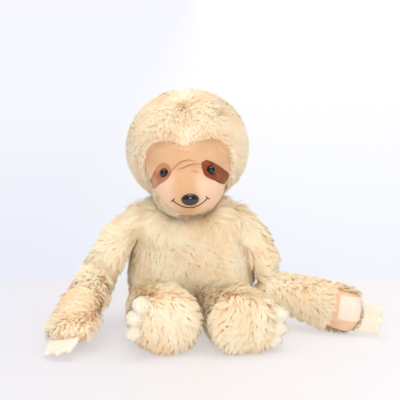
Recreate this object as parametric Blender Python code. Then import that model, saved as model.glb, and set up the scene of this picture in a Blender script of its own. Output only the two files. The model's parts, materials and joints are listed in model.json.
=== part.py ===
"""A seated plush sloth, made the way a soft-toy workshop makes one.

Every soft part is a sewn plush cover, a shell with an opening, round its own stuffing. The head is a
plush hood with a velour face panel set into its opening. The limbs end in round heads that seat in
sockets, or in a flat sewn face, so that each can swing without pressing into its neighbour.

Metres, +Z up. The toy sits on z = 0 and looks along -Y. Its own left side is at +X.
"""

import math

import bmesh
import bpy
from mathutils import Matrix, Quaternion, Vector
from mathutils.bvhtree import BVHTree

MM = 0.001

# Cloth, thread and clearances
GAP = 0.3 * MM
PLUSH_WALL = 7 * MM
VELOUR_WALL = 2 * MM
TAPE_WALL = 1.2 * MM
PATCH_WALL = 0.9 * MM
THREAD_DIAMETER = 1.3 * MM
SEAT_CUT = 0.5 * MM
OVERRUN = 8 * MM
WELD = 0.002 * MM

# Body
BODY_HEIGHT = 158 * MM
BODY_WIDTH = 160 * MM
BODY_DEPTH = 134 * MM
BODY_LEAN = 6 * MM
SEAT_SHARE = 0.64
BODY_SHARES = (  # height, girth and lean, as shares of the three sizes above
    (0.03, 0.77, 1.00),
    (0.11, 0.90, 0.98),
    (0.24, 0.98, 0.90),
    (0.40, 1.00, 0.75),
    (0.56, 0.97, 0.55),
    (0.69, 0.90, 0.35),
    (0.79, 0.82, 0.20),
    (0.87, 0.73, 0.10),
    (0.94, 0.59, 0.05),
    (0.985, 0.37, 0.00),
)

# Neck
NECK_RADIUS = 26 * MM
NECK_WALL = 5 * MM
NECK_MOUTH_RADIUS = 12 * MM

# Head: the hood's outside, and the skin under it with the muzzle
HOOD_WIDTH = 154 * MM
HOOD_DEPTH = 138 * MM
HOOD_HEIGHT = 148 * MM
HEAD_SINK = 3.5 * MM
HEAD_FORWARD = 6 * MM
HEAD_ROLL = math.radians(3.5)
HOOD_WALL = 8 * MM
BRIDGE_FORWARD = 30 * MM
BRIDGE_DROP = 20 * MM
BRIDGE_WIDTH = 104 * MM
BRIDGE_DEPTH = 110 * MM
BRIDGE_HEIGHT = 84 * MM
MUZZLE_FORWARD = 54 * MM
MUZZLE_DROP = 43 * MM
MUZZLE_WIDTH = 88 * MM
MUZZLE_DEPTH = 100 * MM
MUZZLE_HEIGHT = 68 * MM
FACE_BLEND = 16 * MM
SKIN_POLE_DROP = math.radians(23)
SKIN_OFF_AXIS_SHARES = (0.055, 0.11, 0.165, 0.22, 0.28, 0.345, 0.42, 0.51, 0.61, 0.73, 0.86)

# Face opening, in the front view from the head's centre
FACE_HALF_WIDTH = 56 * MM
FACE_TOP = 21 * MM
FACE_BOTTOM = 81 * MM
FACE_BACK = 14 * MM
FACE_TOP_SHARES = (  # across and up from the widow's peak round one cheek
    (0.00, 0.42),
    (0.22, 0.76),
    (0.40, 0.97),
    (0.60, 1.00),
    (0.78, 0.80),
    (0.92, 0.35),
    (1.00, -0.35),
)
FACE_CHEEK_SHARES = (  # across and down to the chin
    (0.99, 0.26),
    (0.95, 0.48),
    (0.84, 0.67),
    (0.66, 0.82),
    (0.44, 0.93),
    (0.20, 0.99),
)

# Eyes
EYE_DIAMETER = 12 * MM
EYE_SPREAD = 28.5 * MM
EYE_DROP = 19 * MM
EYE_SINK = 0.5 * MM
POST_DIAMETER = 4.4 * MM
POST_LENGTH = 13 * MM
WASHER_DIAMETER = 14 * MM
WASHER_WALL = 1.6 * MM
EYE_PATCH_LENGTH = 38 * MM
EYE_PATCH_DROOP = math.radians(37)
EYE_PATCH_TURN = math.radians(12)
EYE_PATCH_SHARES = (  # along the droop and across it, from the eye's centre
    (-0.32, 0.08),
    (-0.24, 0.25),
    (-0.03, 0.32),
    (0.29, 0.26),
    (0.58, 0.17),
    (0.68, 0.01),
    (0.63, -0.16),
    (0.37, -0.23),
    (0.10, -0.25),
    (-0.13, -0.22),
    (-0.29, -0.11),
)

# Nose and mouth
NOSE_WIDTH = 22 * MM
NOSE_HEIGHT = 16 * MM
NOSE_DEPTH = 15 * MM
NOSE_DROP = 49.5 * MM
NOSE_SINK = 2 * MM
NOSE_WASHER_DIAMETER = 18 * MM
MOUTH_ASIDE = 1.5 * MM
SMILE_WIDTH = 42.5 * MM
SMILE_DEPTH = 10.5 * MM
SMILE_DROP = 49.5 * MM
SMILE_BAR = 6 * MM
SMILE_POINTS = 13

# Shoulders
SHOULDER_TILT = math.radians(26)
SHOULDER_SEAM_DEPTH = 2.5 * MM
SHOULDER_HEIGHT = 126 * MM
SHOULDER_OFFSET = 13 * MM

# Arms
ARM_RADIUS = 25 * MM
UPPER_ARM_LENGTH = 92 * MM
FOREARM_LENGTH = 128 * MM
ELBOW_RADIUS = 23 * MM
ELBOW_MIDDLE = math.radians(38)
ELBOW_HALF_RANGE = math.radians(36)
ELBOW_FLARE = math.radians(6)
HAND_WIDTH = 64 * MM
HAND_THICKNESS = 38 * MM
HAND_CAP = 12 * MM
FOREARM_SHARES = (  # along the forearm, then how far the section has gone from elbow to hand
    (0.18, 0.30),
    (0.38, 0.68),
    (0.60, 0.92),
    (0.80, 1.00),
    (0.94, 0.97),
)
ARM_HOLE_RADIUS = 12 * MM

# Palms and hand claws
PALM_LENGTH = 42 * MM
PALM_WIDTH = 50 * MM
PALM_CORNER = 5 * MM
PALM_SHARE = 0.815
PALM_RISE_SHARE = 0.06
TAPE_LENGTH = 28 * MM
TAPE_WIDTH = 31 * MM
TAPE_AHEAD = 3.5 * MM
TAPE_ASIDE = 5 * MM
HAND_CLAW_LENGTH = 30 * MM
HAND_CLAW_WIDTH = 42 * MM
HAND_CLAW_THICKNESS = 6 * MM
HAND_CLAW_TUCK = 9 * MM
HAND_CLAW_BEVEL = 1.5 * MM
HAND_CLAW_SHARES = (  # along the claws from the hand, and across them
    (0.00, -0.50),
    (0.45, -0.50),
    (0.94, -0.42),
    (0.78, -0.20),
    (1.00, -0.02),
    (0.80, 0.15),
    (0.90, 0.40),
    (0.40, 0.50),
    (0.00, 0.48),
)

# How each arm lies: swing forward on its seam, spread off the seam, forearm's heading, end height, palm
LEFT_HAND_HEIGHT = 27 * MM
RIGHT_HAND_HEIGHT = 18.5 * MM
LEFT_PALM_FACING = Vector((0, -1, 0))
RIGHT_PALM_FACING = Vector((0.3, 0.3, -1))
ARMS = {
    "left": (math.radians(12.5), math.radians(-1), math.radians(-24.5), LEFT_HAND_HEIGHT, LEFT_PALM_FACING),
    "right": (math.radians(18), math.radians(8.5), math.radians(-102), RIGHT_HAND_HEIGHT, RIGHT_PALM_FACING),
}

# Legs and feet
HIP_RADIUS = 30 * MM
HIP_SPACING = 82 * MM
HIP_REACH_SHARE = 0.90
HIP_HALF_RANGE = math.radians(46)
HIP_MIDDLE = math.radians(30)
HIP_FLARE = math.radians(9)
LEG_LENGTH = 88 * MM
LEG_HOLE_RADIUS = 15 * MM
FOOT_WIDTH = 80 * MM
FOOT_HEIGHT = 82 * MM
FOOT_CAP = 15 * MM
FOOT_SPACING = 8 * MM
FEET_SHIFT = 24 * MM
SOLE_SEAM_SHARE = 0.86
LEG_SHARES = (  # along the leg, then how far the girth has gone from hip to foot
    (0.22, 0.36),
    (0.45, 0.76),
    (0.70, 0.94),
    (0.88, 1.00),
    (1.00, 0.97),
)
TOE_LENGTH = 36 * MM
TOE_OUT = 5 * MM
TOE_WIDTH = 19 * MM
TOE_HEIGHT = 21 * MM
TOE_COUNT = 3
TOE_PITCH_SHARE = 0.80
TOE_SEAT_SHARE = 0.97
TOES = {  # the claws' turn round the foot and their lean to its front
    "left": (math.radians(-12), math.radians(8)),
    "right": (math.radians(166), math.radians(48)),
}

# Facets
BODY_SIDES = 24
HEAD_SIDES = 24
LIMB_SIDES = 18
BALL_SIDES = 20
BUTTON_SIDES = 14
THREAD_SIDES = 6
TOE_SIDES = 14
ROUND_STEPS = 3
ROD_TURN = math.radians(7)
SHARP_ANGLE = math.radians(40)

MATERIALS = {  # name, colour and roughness
    "plush": ("cream long-pile plush", (0.83, 0.66, 0.42), 0.95),
    "fill": ("white fibre stuffing", (0.92, 0.92, 0.90), 0.95),
    "velour": ("peach velour", (0.82, 0.55, 0.36), 0.85),
    "patch": ("brown velour", (0.36, 0.12, 0.05), 0.85),
    "claw": ("cream velour", (0.92, 0.82, 0.60), 0.80),
    "tape": ("pale hook-and-loop tape", (0.90, 0.72, 0.60), 0.70),
    "gloss": ("black gloss plastic", (0.012, 0.012, 0.014), 0.15),
    "washer": ("white plastic", (0.85, 0.85, 0.85), 0.45),
    "thread": ("dark embroidery thread", (0.05, 0.03, 0.03), 0.70),
}

UP = Vector((0, 0, 1))
FRONT = Vector((0, -1, 0))
LEFT = Vector((1, 0, 0))
SIDES = {"left": 1, "right": -1}


def clear_scene():
    """Removes what the scene holds, so that each run starts empty."""
    for old in list(bpy.data.objects):
        bpy.data.objects.remove(old, do_unlink=True)


def make_material(name, colour, roughness):
    """Makes a Principled material of one colour."""
    material = bpy.data.materials.new(name)
    material.use_nodes = True
    shader = material.node_tree.nodes["Principled BSDF"]
    shader.inputs["Base Color"].default_value = (*colour, 1.0)
    shader.inputs["Roughness"].default_value = roughness
    return material


def object_from(mesh_builder, name):
    """Makes an object from a bmesh, with its normals facing out."""
    bmesh.ops.recalc_face_normals(mesh_builder, faces=mesh_builder.faces)
    mesh = bpy.data.meshes.new(name)
    mesh_builder.to_mesh(mesh)
    mesh_builder.free()
    made = bpy.data.objects.new(name, mesh)
    bpy.context.scene.collection.objects.link(made)
    return made


def loft(rings, name):
    """Skins a row of rings. A ring of one point is a pole, and any other end ring gets a flat cap."""
    builder = bmesh.new()
    rows = [[builder.verts.new(point) for point in ring] for ring in rings]
    for near, far in zip(rows, rows[1:]):
        sides = max(len(near), len(far))
        for i in range(sides):
            j = (i + 1) % sides
            if len(near) == 1:
                builder.faces.new((near[0], far[i], far[j]))
            elif len(far) == 1:
                builder.faces.new((near[i], near[j], far[0]))
            else:
                builder.faces.new((near[i], near[j], far[j]))
                builder.faces.new((near[i], far[j], far[i]))
    for row in (rows[0], rows[-1]):
        if len(row) > 1:
            builder.faces.new(row)
    return object_from(builder, name)


def ring_points(centre, across, up, half_across, half_up, sides):
    """Gives the points of an elliptical section."""
    points = []
    for i in range(sides):
        turn = math.tau * i / sides
        points.append(centre + across * (half_across * math.cos(turn)) + up * (half_up * math.sin(turn)))
    return points


def extrude_outline(outline, direction, reach, name):
    """Makes a prism: the outline's points, extruded along a direction by a reach."""
    builder = bmesh.new()
    near = [builder.verts.new(point) for point in outline]
    far = [builder.verts.new(point + direction * reach) for point in outline]
    builder.faces.new(near)
    builder.faces.new(far)
    for i in range(len(outline)):
        j = (i + 1) % len(outline)
        builder.faces.new((near[i], near[j], far[j], far[i]))
    return object_from(builder, name)


def rod(start, direction, radius, reach, sides, name):
    """Makes a round rod, turned a little so that its corners miss those of what it meets."""
    across = direction.orthogonal().normalized()
    across.rotate(Quaternion(direction, ROD_TURN))
    up = direction.cross(across).normalized()
    rings = [
        ring_points(start, across, up, radius, radius, sides),
        ring_points(start + direction * reach, across, up, radius, radius, sides),
    ]
    return loft(rings, name)


def ellipsoid(centre, half_sizes, axes, sides, name):
    """Makes an ellipsoid from its half sizes along three axes, with its poles on the third."""
    across, up, pole = axes
    steps = sides // 2
    rings = [[centre - pole * half_sizes[2]]]
    for i in range(1, steps):
        turn = math.pi * i / steps
        ring_centre = centre - pole * (half_sizes[2] * math.cos(turn))
        half_across, half_up = (half * math.sin(turn) for half in half_sizes[:2])
        rings.append(ring_points(ring_centre, across, up, half_across, half_up, sides))
    rings.append([centre + pole * half_sizes[2]])
    return loft(rings, name)


def ball(centre, radius, name):
    """Makes a round ball, for the joints' sockets and heads."""
    return ellipsoid(centre, (radius, radius, radius), (LEFT, FRONT, UP), BALL_SIDES, name)


def socket(centre, radius):
    """Makes the room that a round head turns in: a ball whose flats all clear the head's true round."""
    return ball(centre, (radius + GAP) / math.cos(math.pi / BALL_SIDES) ** 2, "socket")


def slice_off(target, point, normal):
    """Cuts away what lies beyond a plane and closes the cut with a flat face."""
    builder = bmesh.new()
    builder.from_mesh(target.data)
    everything = builder.verts[:] + builder.edges[:] + builder.faces[:]
    bmesh.ops.bisect_plane(builder, geom=everything, plane_co=point, plane_no=normal, clear_outer=True)
    rim = [edge for edge in builder.edges if edge.is_boundary]
    if rim:
        bmesh.ops.holes_fill(builder, edges=rim, sides=0)
    bmesh.ops.recalc_face_normals(builder, faces=builder.faces)
    builder.to_mesh(target.data)
    builder.free()
    return target


def combine(target, tool, operation):
    """Applies one boolean to the target and removes the tool."""
    modifier = target.modifiers.new("boolean", "BOOLEAN")
    modifier.operation = operation
    modifier.solver = "EXACT"
    modifier.object = tool
    evaluated = target.evaluated_get(bpy.context.evaluated_depsgraph_get())
    mesh = bpy.data.meshes.new_from_object(evaluated)
    target.modifiers.clear()
    target.data = mesh
    bpy.data.objects.remove(tool, do_unlink=True)
    return target


def cut(target, *tools):
    """Takes each tool's space out of the target."""
    for tool in tools:
        combine(target, tool, "DIFFERENCE")
    return target


def keep(target, tool):
    """Keeps only the target's part inside the tool."""
    return combine(target, tool, "INTERSECT")


def fuse(target, *tools):
    """Joins each tool to the target as one solid."""
    for tool in tools:
        combine(target, tool, "UNION")
    return target


def tidy(target):
    """Welds doubled points and flattens the slivers that cuts leave."""
    builder = bmesh.new()
    builder.from_mesh(target.data)
    bmesh.ops.remove_doubles(builder, verts=builder.verts, dist=WELD)
    bmesh.ops.dissolve_degenerate(builder, edges=builder.edges, dist=WELD)
    bmesh.ops.triangulate(builder, faces=builder.faces)
    bmesh.ops.recalc_face_normals(builder, faces=builder.faces)
    builder.to_mesh(target.data)
    builder.free()
    return target


def finish(target, material, pivot):
    """Gives a piece its material and shading, and hangs it on its joint's empty."""
    tidy(target)
    target.data.materials.clear()
    target.data.materials.append(material)
    target.data.shade_smooth()
    target.data.set_sharp_from_angle(angle=SHARP_ANGLE)
    target.data.transform(Matrix.Translation(-pivot.location))
    target.parent = pivot
    return target


def make_pivot(name, location):
    """Makes the empty that stands at a joint and carries its pieces."""
    pivot = bpy.data.objects.new(name, None)
    pivot.location = location
    bpy.context.scene.collection.objects.link(pivot)
    return pivot


def body_rings(inset):
    """Gives the body's sections from the seat to the neck, drawn in by an inset."""
    half_width = BODY_WIDTH / 2
    half_depth = BODY_DEPTH / 2
    height = BODY_HEIGHT - 2 * inset
    seat_z = inset - SEAT_CUT
    seat = Vector((0, BODY_LEAN, seat_z))
    rings = [
        ring_points(
            seat,
            LEFT,
            FRONT,
            half_width * SEAT_SHARE - inset,
            half_depth * SEAT_SHARE - inset,
            BODY_SIDES,
        )
    ]
    for height_share, girth_share, lean_share in BODY_SHARES:
        centre = Vector((0, BODY_LEAN * lean_share, inset + height * height_share))
        rings.append(
            ring_points(
                centre,
                LEFT,
                FRONT,
                half_width * girth_share - inset,
                half_depth * girth_share - inset,
                BODY_SIDES,
            )
        )
    rings.append([Vector((0, 0, BODY_HEIGHT - inset))])
    return rings


def shoulder_normal(side):
    """Gives the direction that a shoulder's flat seam faces."""
    return Vector((side * math.cos(SHOULDER_TILT), 0, math.sin(SHOULDER_TILT)))


def shoulder_seam_point(side):
    """Gives the middle of the sewn seam, where the seam's plane just cuts the body's side."""
    normal = shoulder_normal(side)
    furthest = max(point.dot(normal) for ring in body_rings(0) for point in ring)
    offset = furthest - SHOULDER_SEAM_DEPTH
    across = (offset - SHOULDER_HEIGHT * normal.z) / abs(normal.x)
    return Vector((side * across, 0, SHOULDER_HEIGHT))


def hip_centre(side):
    """Gives the centre of a leg's round head."""
    forward = BODY_DEPTH / 2 * HIP_REACH_SHARE
    return Vector((side * HIP_SPACING / 2, -forward, FOOT_HEIGHT / 2 - SEAT_CUT))


def hip_plane():
    """Gives the plane that bounds the body behind both legs, clear of their whole swing."""
    facing = Vector((0, -math.cos(HIP_MIDDLE), -math.sin(HIP_MIDDLE)))
    setback = HIP_RADIUS * math.sin(HIP_HALF_RANGE - HIP_FLARE) + GAP
    return hip_centre(1) - facing * setback, facing


def neck_centre():
    """Gives the centre of the neck's round plug."""
    return Vector((0, 0, BODY_HEIGHT))


def body_form(inset, name):
    """Makes the body's solid: a pear, flat at the seat, the shoulder seams and behind the legs."""
    form = loft(body_rings(inset), name)
    slice_off(form, UP * inset, -UP)
    for side in SIDES.values():
        normal = shoulder_normal(side)
        slice_off(form, shoulder_seam_point(side) - normal * inset, normal)
    point, facing = hip_plane()
    slice_off(form, point - facing * inset, facing)
    return form


def make_body(pivot, plush, fill):
    """Makes the body's cover and its stuffing, socketed for the neck and both legs."""
    heads = [(neck_centre(), NECK_RADIUS)]
    heads += [(hip_centre(side), HIP_RADIUS) for side in SIDES.values()]
    cover = cut(body_form(0, "body_cover"), body_form(PLUSH_WALL, "cavity"))
    stuffing = body_form(PLUSH_WALL + GAP, "body_stuffing")
    for centre, radius in heads:
        cut(cover, socket(centre, radius))
        cut(stuffing, socket(centre, radius))
    finish(cover, plush, pivot)
    finish(stuffing, fill, pivot)


def make_neck(pivot, plush, fill):
    """Makes the neck: a gathered plush tube, open at both ends, round a plug of stuffing."""
    cover = ball(neck_centre(), NECK_RADIUS, "neck_cover")
    cut(cover, ball(neck_centre(), NECK_RADIUS - NECK_WALL, "cavity"))
    start = neck_centre() - UP * (NECK_RADIUS + OVERRUN)
    cut(cover, rod(start, UP, NECK_MOUTH_RADIUS, 2 * (NECK_RADIUS + OVERRUN), LIMB_SIDES, "mouths"))
    stuffing = ball(neck_centre(), NECK_RADIUS - NECK_WALL - GAP, "neck_stuffing")
    finish(cover, plush, pivot)
    finish(stuffing, fill, pivot)


def smooth_max(a, b, blend):
    """Gives the larger of two lengths, with the corner between them rounded."""
    overlap = max(blend - abs(a - b), 0) / blend
    return max(a, b) + overlap * overlap * blend / 4


def ray_out_of(direction, centre, half_sizes):
    """Gives how far a ray from the origin goes before it leaves an ellipsoid, or 0 where it misses."""
    d = Vector(direction[i] / half_sizes[i] for i in range(3))
    c = Vector(centre[i] / half_sizes[i] for i in range(3))
    a = d.dot(d)
    b = d.dot(c)
    root = b * b - a * (c.dot(c) - 1)
    if root <= 0:
        return 0.0
    return max((b + math.sqrt(root)) / a, 0.0)


def skin_reach(direction, inset):
    """Gives the skin's distance from the head's centre: skull, bridge and muzzle run together."""
    inwards = Vector((1, 1, 1)) * inset
    wall = Vector((1, 1, 1)) * HOOD_WALL
    skull = Vector((HOOD_WIDTH, HOOD_DEPTH, HOOD_HEIGHT)) / 2 - wall - inwards
    bridge = Vector((BRIDGE_WIDTH, BRIDGE_DEPTH, BRIDGE_HEIGHT)) / 2 - inwards
    muzzle = Vector((MUZZLE_WIDTH, MUZZLE_DEPTH, MUZZLE_HEIGHT)) / 2 - inwards
    on_skull = ray_out_of(direction, Vector((0, 0, 0)), skull)
    on_bridge = ray_out_of(direction, Vector((0, -BRIDGE_FORWARD, -BRIDGE_DROP)), bridge)
    on_muzzle = ray_out_of(direction, Vector((0, -MUZZLE_FORWARD, -MUZZLE_DROP)), muzzle)
    return smooth_max(smooth_max(on_skull, on_bridge, FACE_BLEND), on_muzzle, FACE_BLEND)


def skin_form(inset, name):
    """Makes the head's skin from its centre, with its pole and its smallest facets at the muzzle."""
    pole = FRONT * math.cos(SKIN_POLE_DROP) - UP * math.sin(SKIN_POLE_DROP)
    up = LEFT.cross(pole)
    rings = [[pole * skin_reach(pole, inset)]]
    for share in SKIN_OFF_AXIS_SHARES:
        off_axis = math.pi * share
        ring = []
        for k in range(HEAD_SIDES):
            turn = math.tau * k / HEAD_SIDES
            sideways = LEFT * math.cos(turn) + up * math.sin(turn)
            direction = pole * math.cos(off_axis) + sideways * math.sin(off_axis)
            ring.append(direction * skin_reach(direction, inset))
        rings.append(ring)
    rings.append([-pole * skin_reach(-pole, inset)])
    return loft(rings, name)


class Skin:
    """Finds places on the skin at one inset, by rays against its facets."""

    def __init__(self, inset):
        form = skin_form(inset, "probe")
        self.tree = BVHTree.FromObject(form, bpy.context.evaluated_depsgraph_get())
        bpy.data.objects.remove(form, do_unlink=True)

    def front(self, x, z):
        """Gives the skin's foremost point at a place in the front view."""
        start = Vector((x, 0, z)) + FRONT * (HOOD_DEPTH + MUZZLE_DEPTH)
        return self.tree.ray_cast(start, -FRONT)[0]

    def place(self, x, z):
        """Gives a place in the front view and the way the cloth faces round it."""
        step = POST_DIAMETER
        sideways = self.front(x + step, z) - self.front(x - step, z)
        upwards = self.front(x, z + step) - self.front(x, z - step)
        return self.front(x, z), sideways.cross(upwards).normalized()

    def depth_under(self, place, radius):
        """Gives how deep under a place the skin lies at its deepest, over a disc's rim."""
        point, outward = place
        across = outward.orthogonal().normalized()
        up = outward.cross(across)
        start = point - outward * POST_LENGTH
        rim = ring_points(start, across, up, radius, radius, BUTTON_SIDES)
        return POST_LENGTH - min(self.tree.ray_cast(corner, outward)[3] for corner in rim)


def face_outline(margin):
    """Gives the face opening's outline in the front view: a heart top over a rounded chin."""
    half = [(across, up * FACE_TOP) for across, up in FACE_TOP_SHARES]
    half += [(across, -down * FACE_BOTTOM) for across, down in FACE_CHEEK_SHARES]
    cheek = [Vector((across * (FACE_HALF_WIDTH + margin), 0, z)) for across, z in half]
    cheek.append(Vector((0, 0, -FACE_BOTTOM)))
    for point in cheek[1:]:
        point.z += math.copysign(margin, point.z)
    other = [Vector((-point.x, 0, point.z)) for point in reversed(cheek[1:-1])]
    return cheek + other


def face_prism(margin, name):
    """Makes the block that the face opening takes out of the hood."""
    back = FRONT * (FACE_BACK - margin)
    outline = [point + back for point in face_outline(margin)]
    return extrude_outline(outline, FRONT, HOOD_DEPTH, name)


def eye_patch_outline(side):
    """Gives an eye patch's outline in the front view, drooping outwards from the eye."""
    droop = EYE_PATCH_DROOP - side * EYE_PATCH_TURN
    along = Vector((side * math.cos(droop), 0, -math.sin(droop)))
    across = Vector((side * math.sin(droop), 0, math.cos(droop)))
    eye = Vector((side * EYE_SPREAD, 0, -EYE_DROP))
    points = []
    for along_share, across_share in EYE_PATCH_SHARES:
        offset = along * along_share + across * across_share
        points.append(eye + offset * EYE_PATCH_LENGTH)
    return points


def sheet_between(block, outer, inner, name):
    """Makes a sheet of cloth from a block: what lies inside the outer form and outside the inner."""
    block.name = name
    return cut(keep(block, outer), inner)


def skin_layer(outer, inner, prism, name):
    """Makes a sheet that lies on the skin between two insets, inside a prism's outline."""
    return sheet_between(prism, skin_form(outer, "outer"), skin_form(inner, "inner"), name)


def post_hole(place, name="hole"):
    """Makes the tool for the hole that a post passes through."""
    point, outward = place
    start = point - outward * (POST_LENGTH + GAP)
    reach = POST_LENGTH + GAP + OVERRUN
    return rod(start, outward, POST_DIAMETER / 2 + GAP, reach, BUTTON_SIDES, name)


def button(place, half_sizes, sink, seat_inset, name):
    """Makes a domed button with a post, its back shaped to the face that it presses on."""
    point, outward = place
    across = (LEFT - outward * outward.x).normalized()
    up = outward.cross(across)
    dome = ellipsoid(point - outward * sink, half_sizes, (across, up, outward), BUTTON_SIDES, name)
    cut(dome, skin_form(seat_inset, "seat"))
    start = point - outward * POST_LENGTH
    reach = POST_LENGTH - seat_inset + POST_DIAMETER / 2
    return fuse(dome, rod(start, outward, POST_DIAMETER / 2, reach, BUTTON_SIDES, "post"))


def washer(place, depth, diameter, name):
    """Makes the locking washer that grips a post inside the head, at a depth under the face."""
    start = place[0] - place[1] * depth
    disc = rod(start, -place[1], diameter / 2, WASHER_WALL, BUTTON_SIDES, name)
    return cut(disc, post_hole(place))


def washer_room(place, depth, diameter):
    """Makes the room that a washer needs in the stuffing."""
    start = place[0] - place[1] * (depth - OVERRUN)
    reach = OVERRUN + WASHER_WALL + GAP
    return rod(start, -place[1], diameter / 2 + GAP, reach, BUTTON_SIDES, "room")


def thread_tube(skin, points, name):
    """Makes a stitch: a round thread through points in the front view, laid on the skin."""
    laid = [skin.front(x, z) for x, z in points]
    rings = []
    for i, point in enumerate(laid):
        before = laid[max(i - 1, 0)]
        after = laid[min(i + 1, len(laid) - 1)]
        along = (after - before).normalized()
        across = along.cross(FRONT).normalized()
        up = across.cross(along).normalized()
        half = THREAD_DIAMETER / 2
        rings.append(ring_points(point, across, up, half, half, THREAD_SIDES))
    return loft(rings, name)


def make_smile(name):
    """Makes the stitched smile and the short bar across each end."""
    skin = Skin(-(2 * GAP + THREAD_DIAMETER / 2))
    half = SMILE_WIDTH / 2
    curve = []
    for i in range(SMILE_POINTS):
        share = 2 * i / (SMILE_POINTS - 1) - 1
        curve.append((MOUTH_ASIDE + half * share, -SMILE_DROP - SMILE_DEPTH * (1 - share * share)))
    smile = thread_tube(skin, curve, name)
    for side in (-1, 1):
        end = Vector((MOUTH_ASIDE + side * half, 0, -SMILE_DROP))
        slope = Vector((side * SMILE_DEPTH * 2, 0, -half)).normalized()
        bar = [end - slope * SMILE_BAR / 2, end, end + slope * SMILE_BAR / 2]
        fuse(smile, thread_tube(skin, [(point.x, point.z) for point in bar], "bar"))
    return smile


def fix_post(held, inner, face, stuffing):
    """Makes a post's holes through the face and the stuffing, and the washer that locks it."""
    place, diameter, name = held
    depth = inner.depth_under(place, diameter / 2) + GAP
    for piece in (face, stuffing):
        cut(piece, post_hole(place))
    cut(stuffing, washer_room(place, depth, diameter))
    return washer(place, depth, diameter, name)


def make_head(pivot, cloth):
    """Makes the hood, the face set into it, the stuffing, and the eyes, nose and smile."""
    outer = Skin(0)
    inner = Skin(VELOUR_WALL)
    half_hood = (HOOD_WIDTH / 2, HOOD_DEPTH / 2, HOOD_HEIGHT / 2)
    hood = ellipsoid(Vector((0, 0, 0)), half_hood, (LEFT, FRONT, UP), HEAD_SIDES, "head_cover")
    cut(hood, skin_form(-GAP, "cavity"), face_prism(0, "opening"))
    face = skin_layer(0, VELOUR_WALL, face_prism(-GAP, "outline"), "face_panel")
    stuffing = skin_form(VELOUR_WALL + GAP, "head_stuffing")
    pieces = {"head_cover": (hood, "plush"), "head_stuffing": (stuffing, "fill")}
    patch_front = -(GAP + PATCH_WALL)
    half_eye = (EYE_DIAMETER / 2, EYE_DIAMETER / 2, EYE_DIAMETER / 2)
    half_nose = (NOSE_WIDTH / 2, NOSE_HEIGHT / 2, NOSE_DEPTH / 2)
    for name, side in SIDES.items():
        place = outer.place(side * EYE_SPREAD, -EYE_DROP)
        outline = extrude_outline(eye_patch_outline(side), FRONT, HOOD_DEPTH, "outline")
        keep(outline, face_prism(-2 * GAP, "edge"))
        patch = skin_layer(patch_front, -GAP, outline, f"eye_patch_{name}")
        cut(patch, post_hole(place))
        eye = button(place, half_eye, EYE_SINK, patch_front - GAP, f"eye_{name}")
        pieces[f"eye_patch_{name}"] = (patch, "patch")
        pieces[f"eye_{name}"] = (eye, "gloss")
        held = (place, WASHER_DIAMETER, f"eye_washer_{name}")
        pieces[held[2]] = (fix_post(held, inner, face, stuffing), "washer")
    place = outer.place(MOUTH_ASIDE, -NOSE_DROP)
    pieces["nose"] = (button(place, half_nose, NOSE_SINK, -2 * GAP, "nose"), "gloss")
    held = (place, NOSE_WASHER_DIAMETER, "nose_washer")
    pieces[held[2]] = (fix_post(held, inner, face, stuffing), "washer")
    pieces["face_panel"] = (face, "velour")
    pieces["mouth_stitching"] = (make_smile("mouth_stitching"), "thread")
    rise = HOOD_HEIGHT / 2 + HEAD_SINK
    place = Matrix.Translation(neck_centre() + UP * rise + FRONT * HEAD_FORWARD)
    place = place @ Matrix.Rotation(-HEAD_ROLL, 4, "Y")
    for piece, _ in pieces.values():
        piece.data.transform(place)
    for piece in (hood, face, stuffing):
        cut(piece, socket(neck_centre(), NECK_RADIUS))
    for piece, material in pieces.values():
        finish(piece, cloth[material], pivot)


def limb_rings(start, along, across, sections):
    """Gives a limb's sections: (distance, half across, half up), where zero size is a pole."""
    up = across.cross(along).normalized()
    rings = []
    for distance, half_across, half_up in sections:
        centre = start + along * distance
        if half_across <= 0:
            rings.append([centre])
        else:
            rings.append(ring_points(centre, across, up, half_across, half_up, LIMB_SIDES))
    return rings


def round_start(radius, last_turn):
    """Gives the sections of a limb's round head, from its pole to an angle off it."""
    sections = [(-radius, 0, 0)]
    for i in range(1, ROUND_STEPS + 1):
        turn = last_turn * i / ROUND_STEPS
        sections.append((-radius * math.cos(turn), radius * math.sin(turn), radius * math.sin(turn)))
    return sections


def round_end(distance, reach, half_across, half_up):
    """Gives the sections of a limb's blunt, rounded end."""
    sections = []
    for i in range(1, ROUND_STEPS):
        turn = math.pi / 2 * i / ROUND_STEPS
        girth = math.cos(turn)
        sections.append((distance + reach * math.sin(turn), half_across * girth, half_up * girth))
    sections.append((distance + reach, 0, 0))
    return sections


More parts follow.
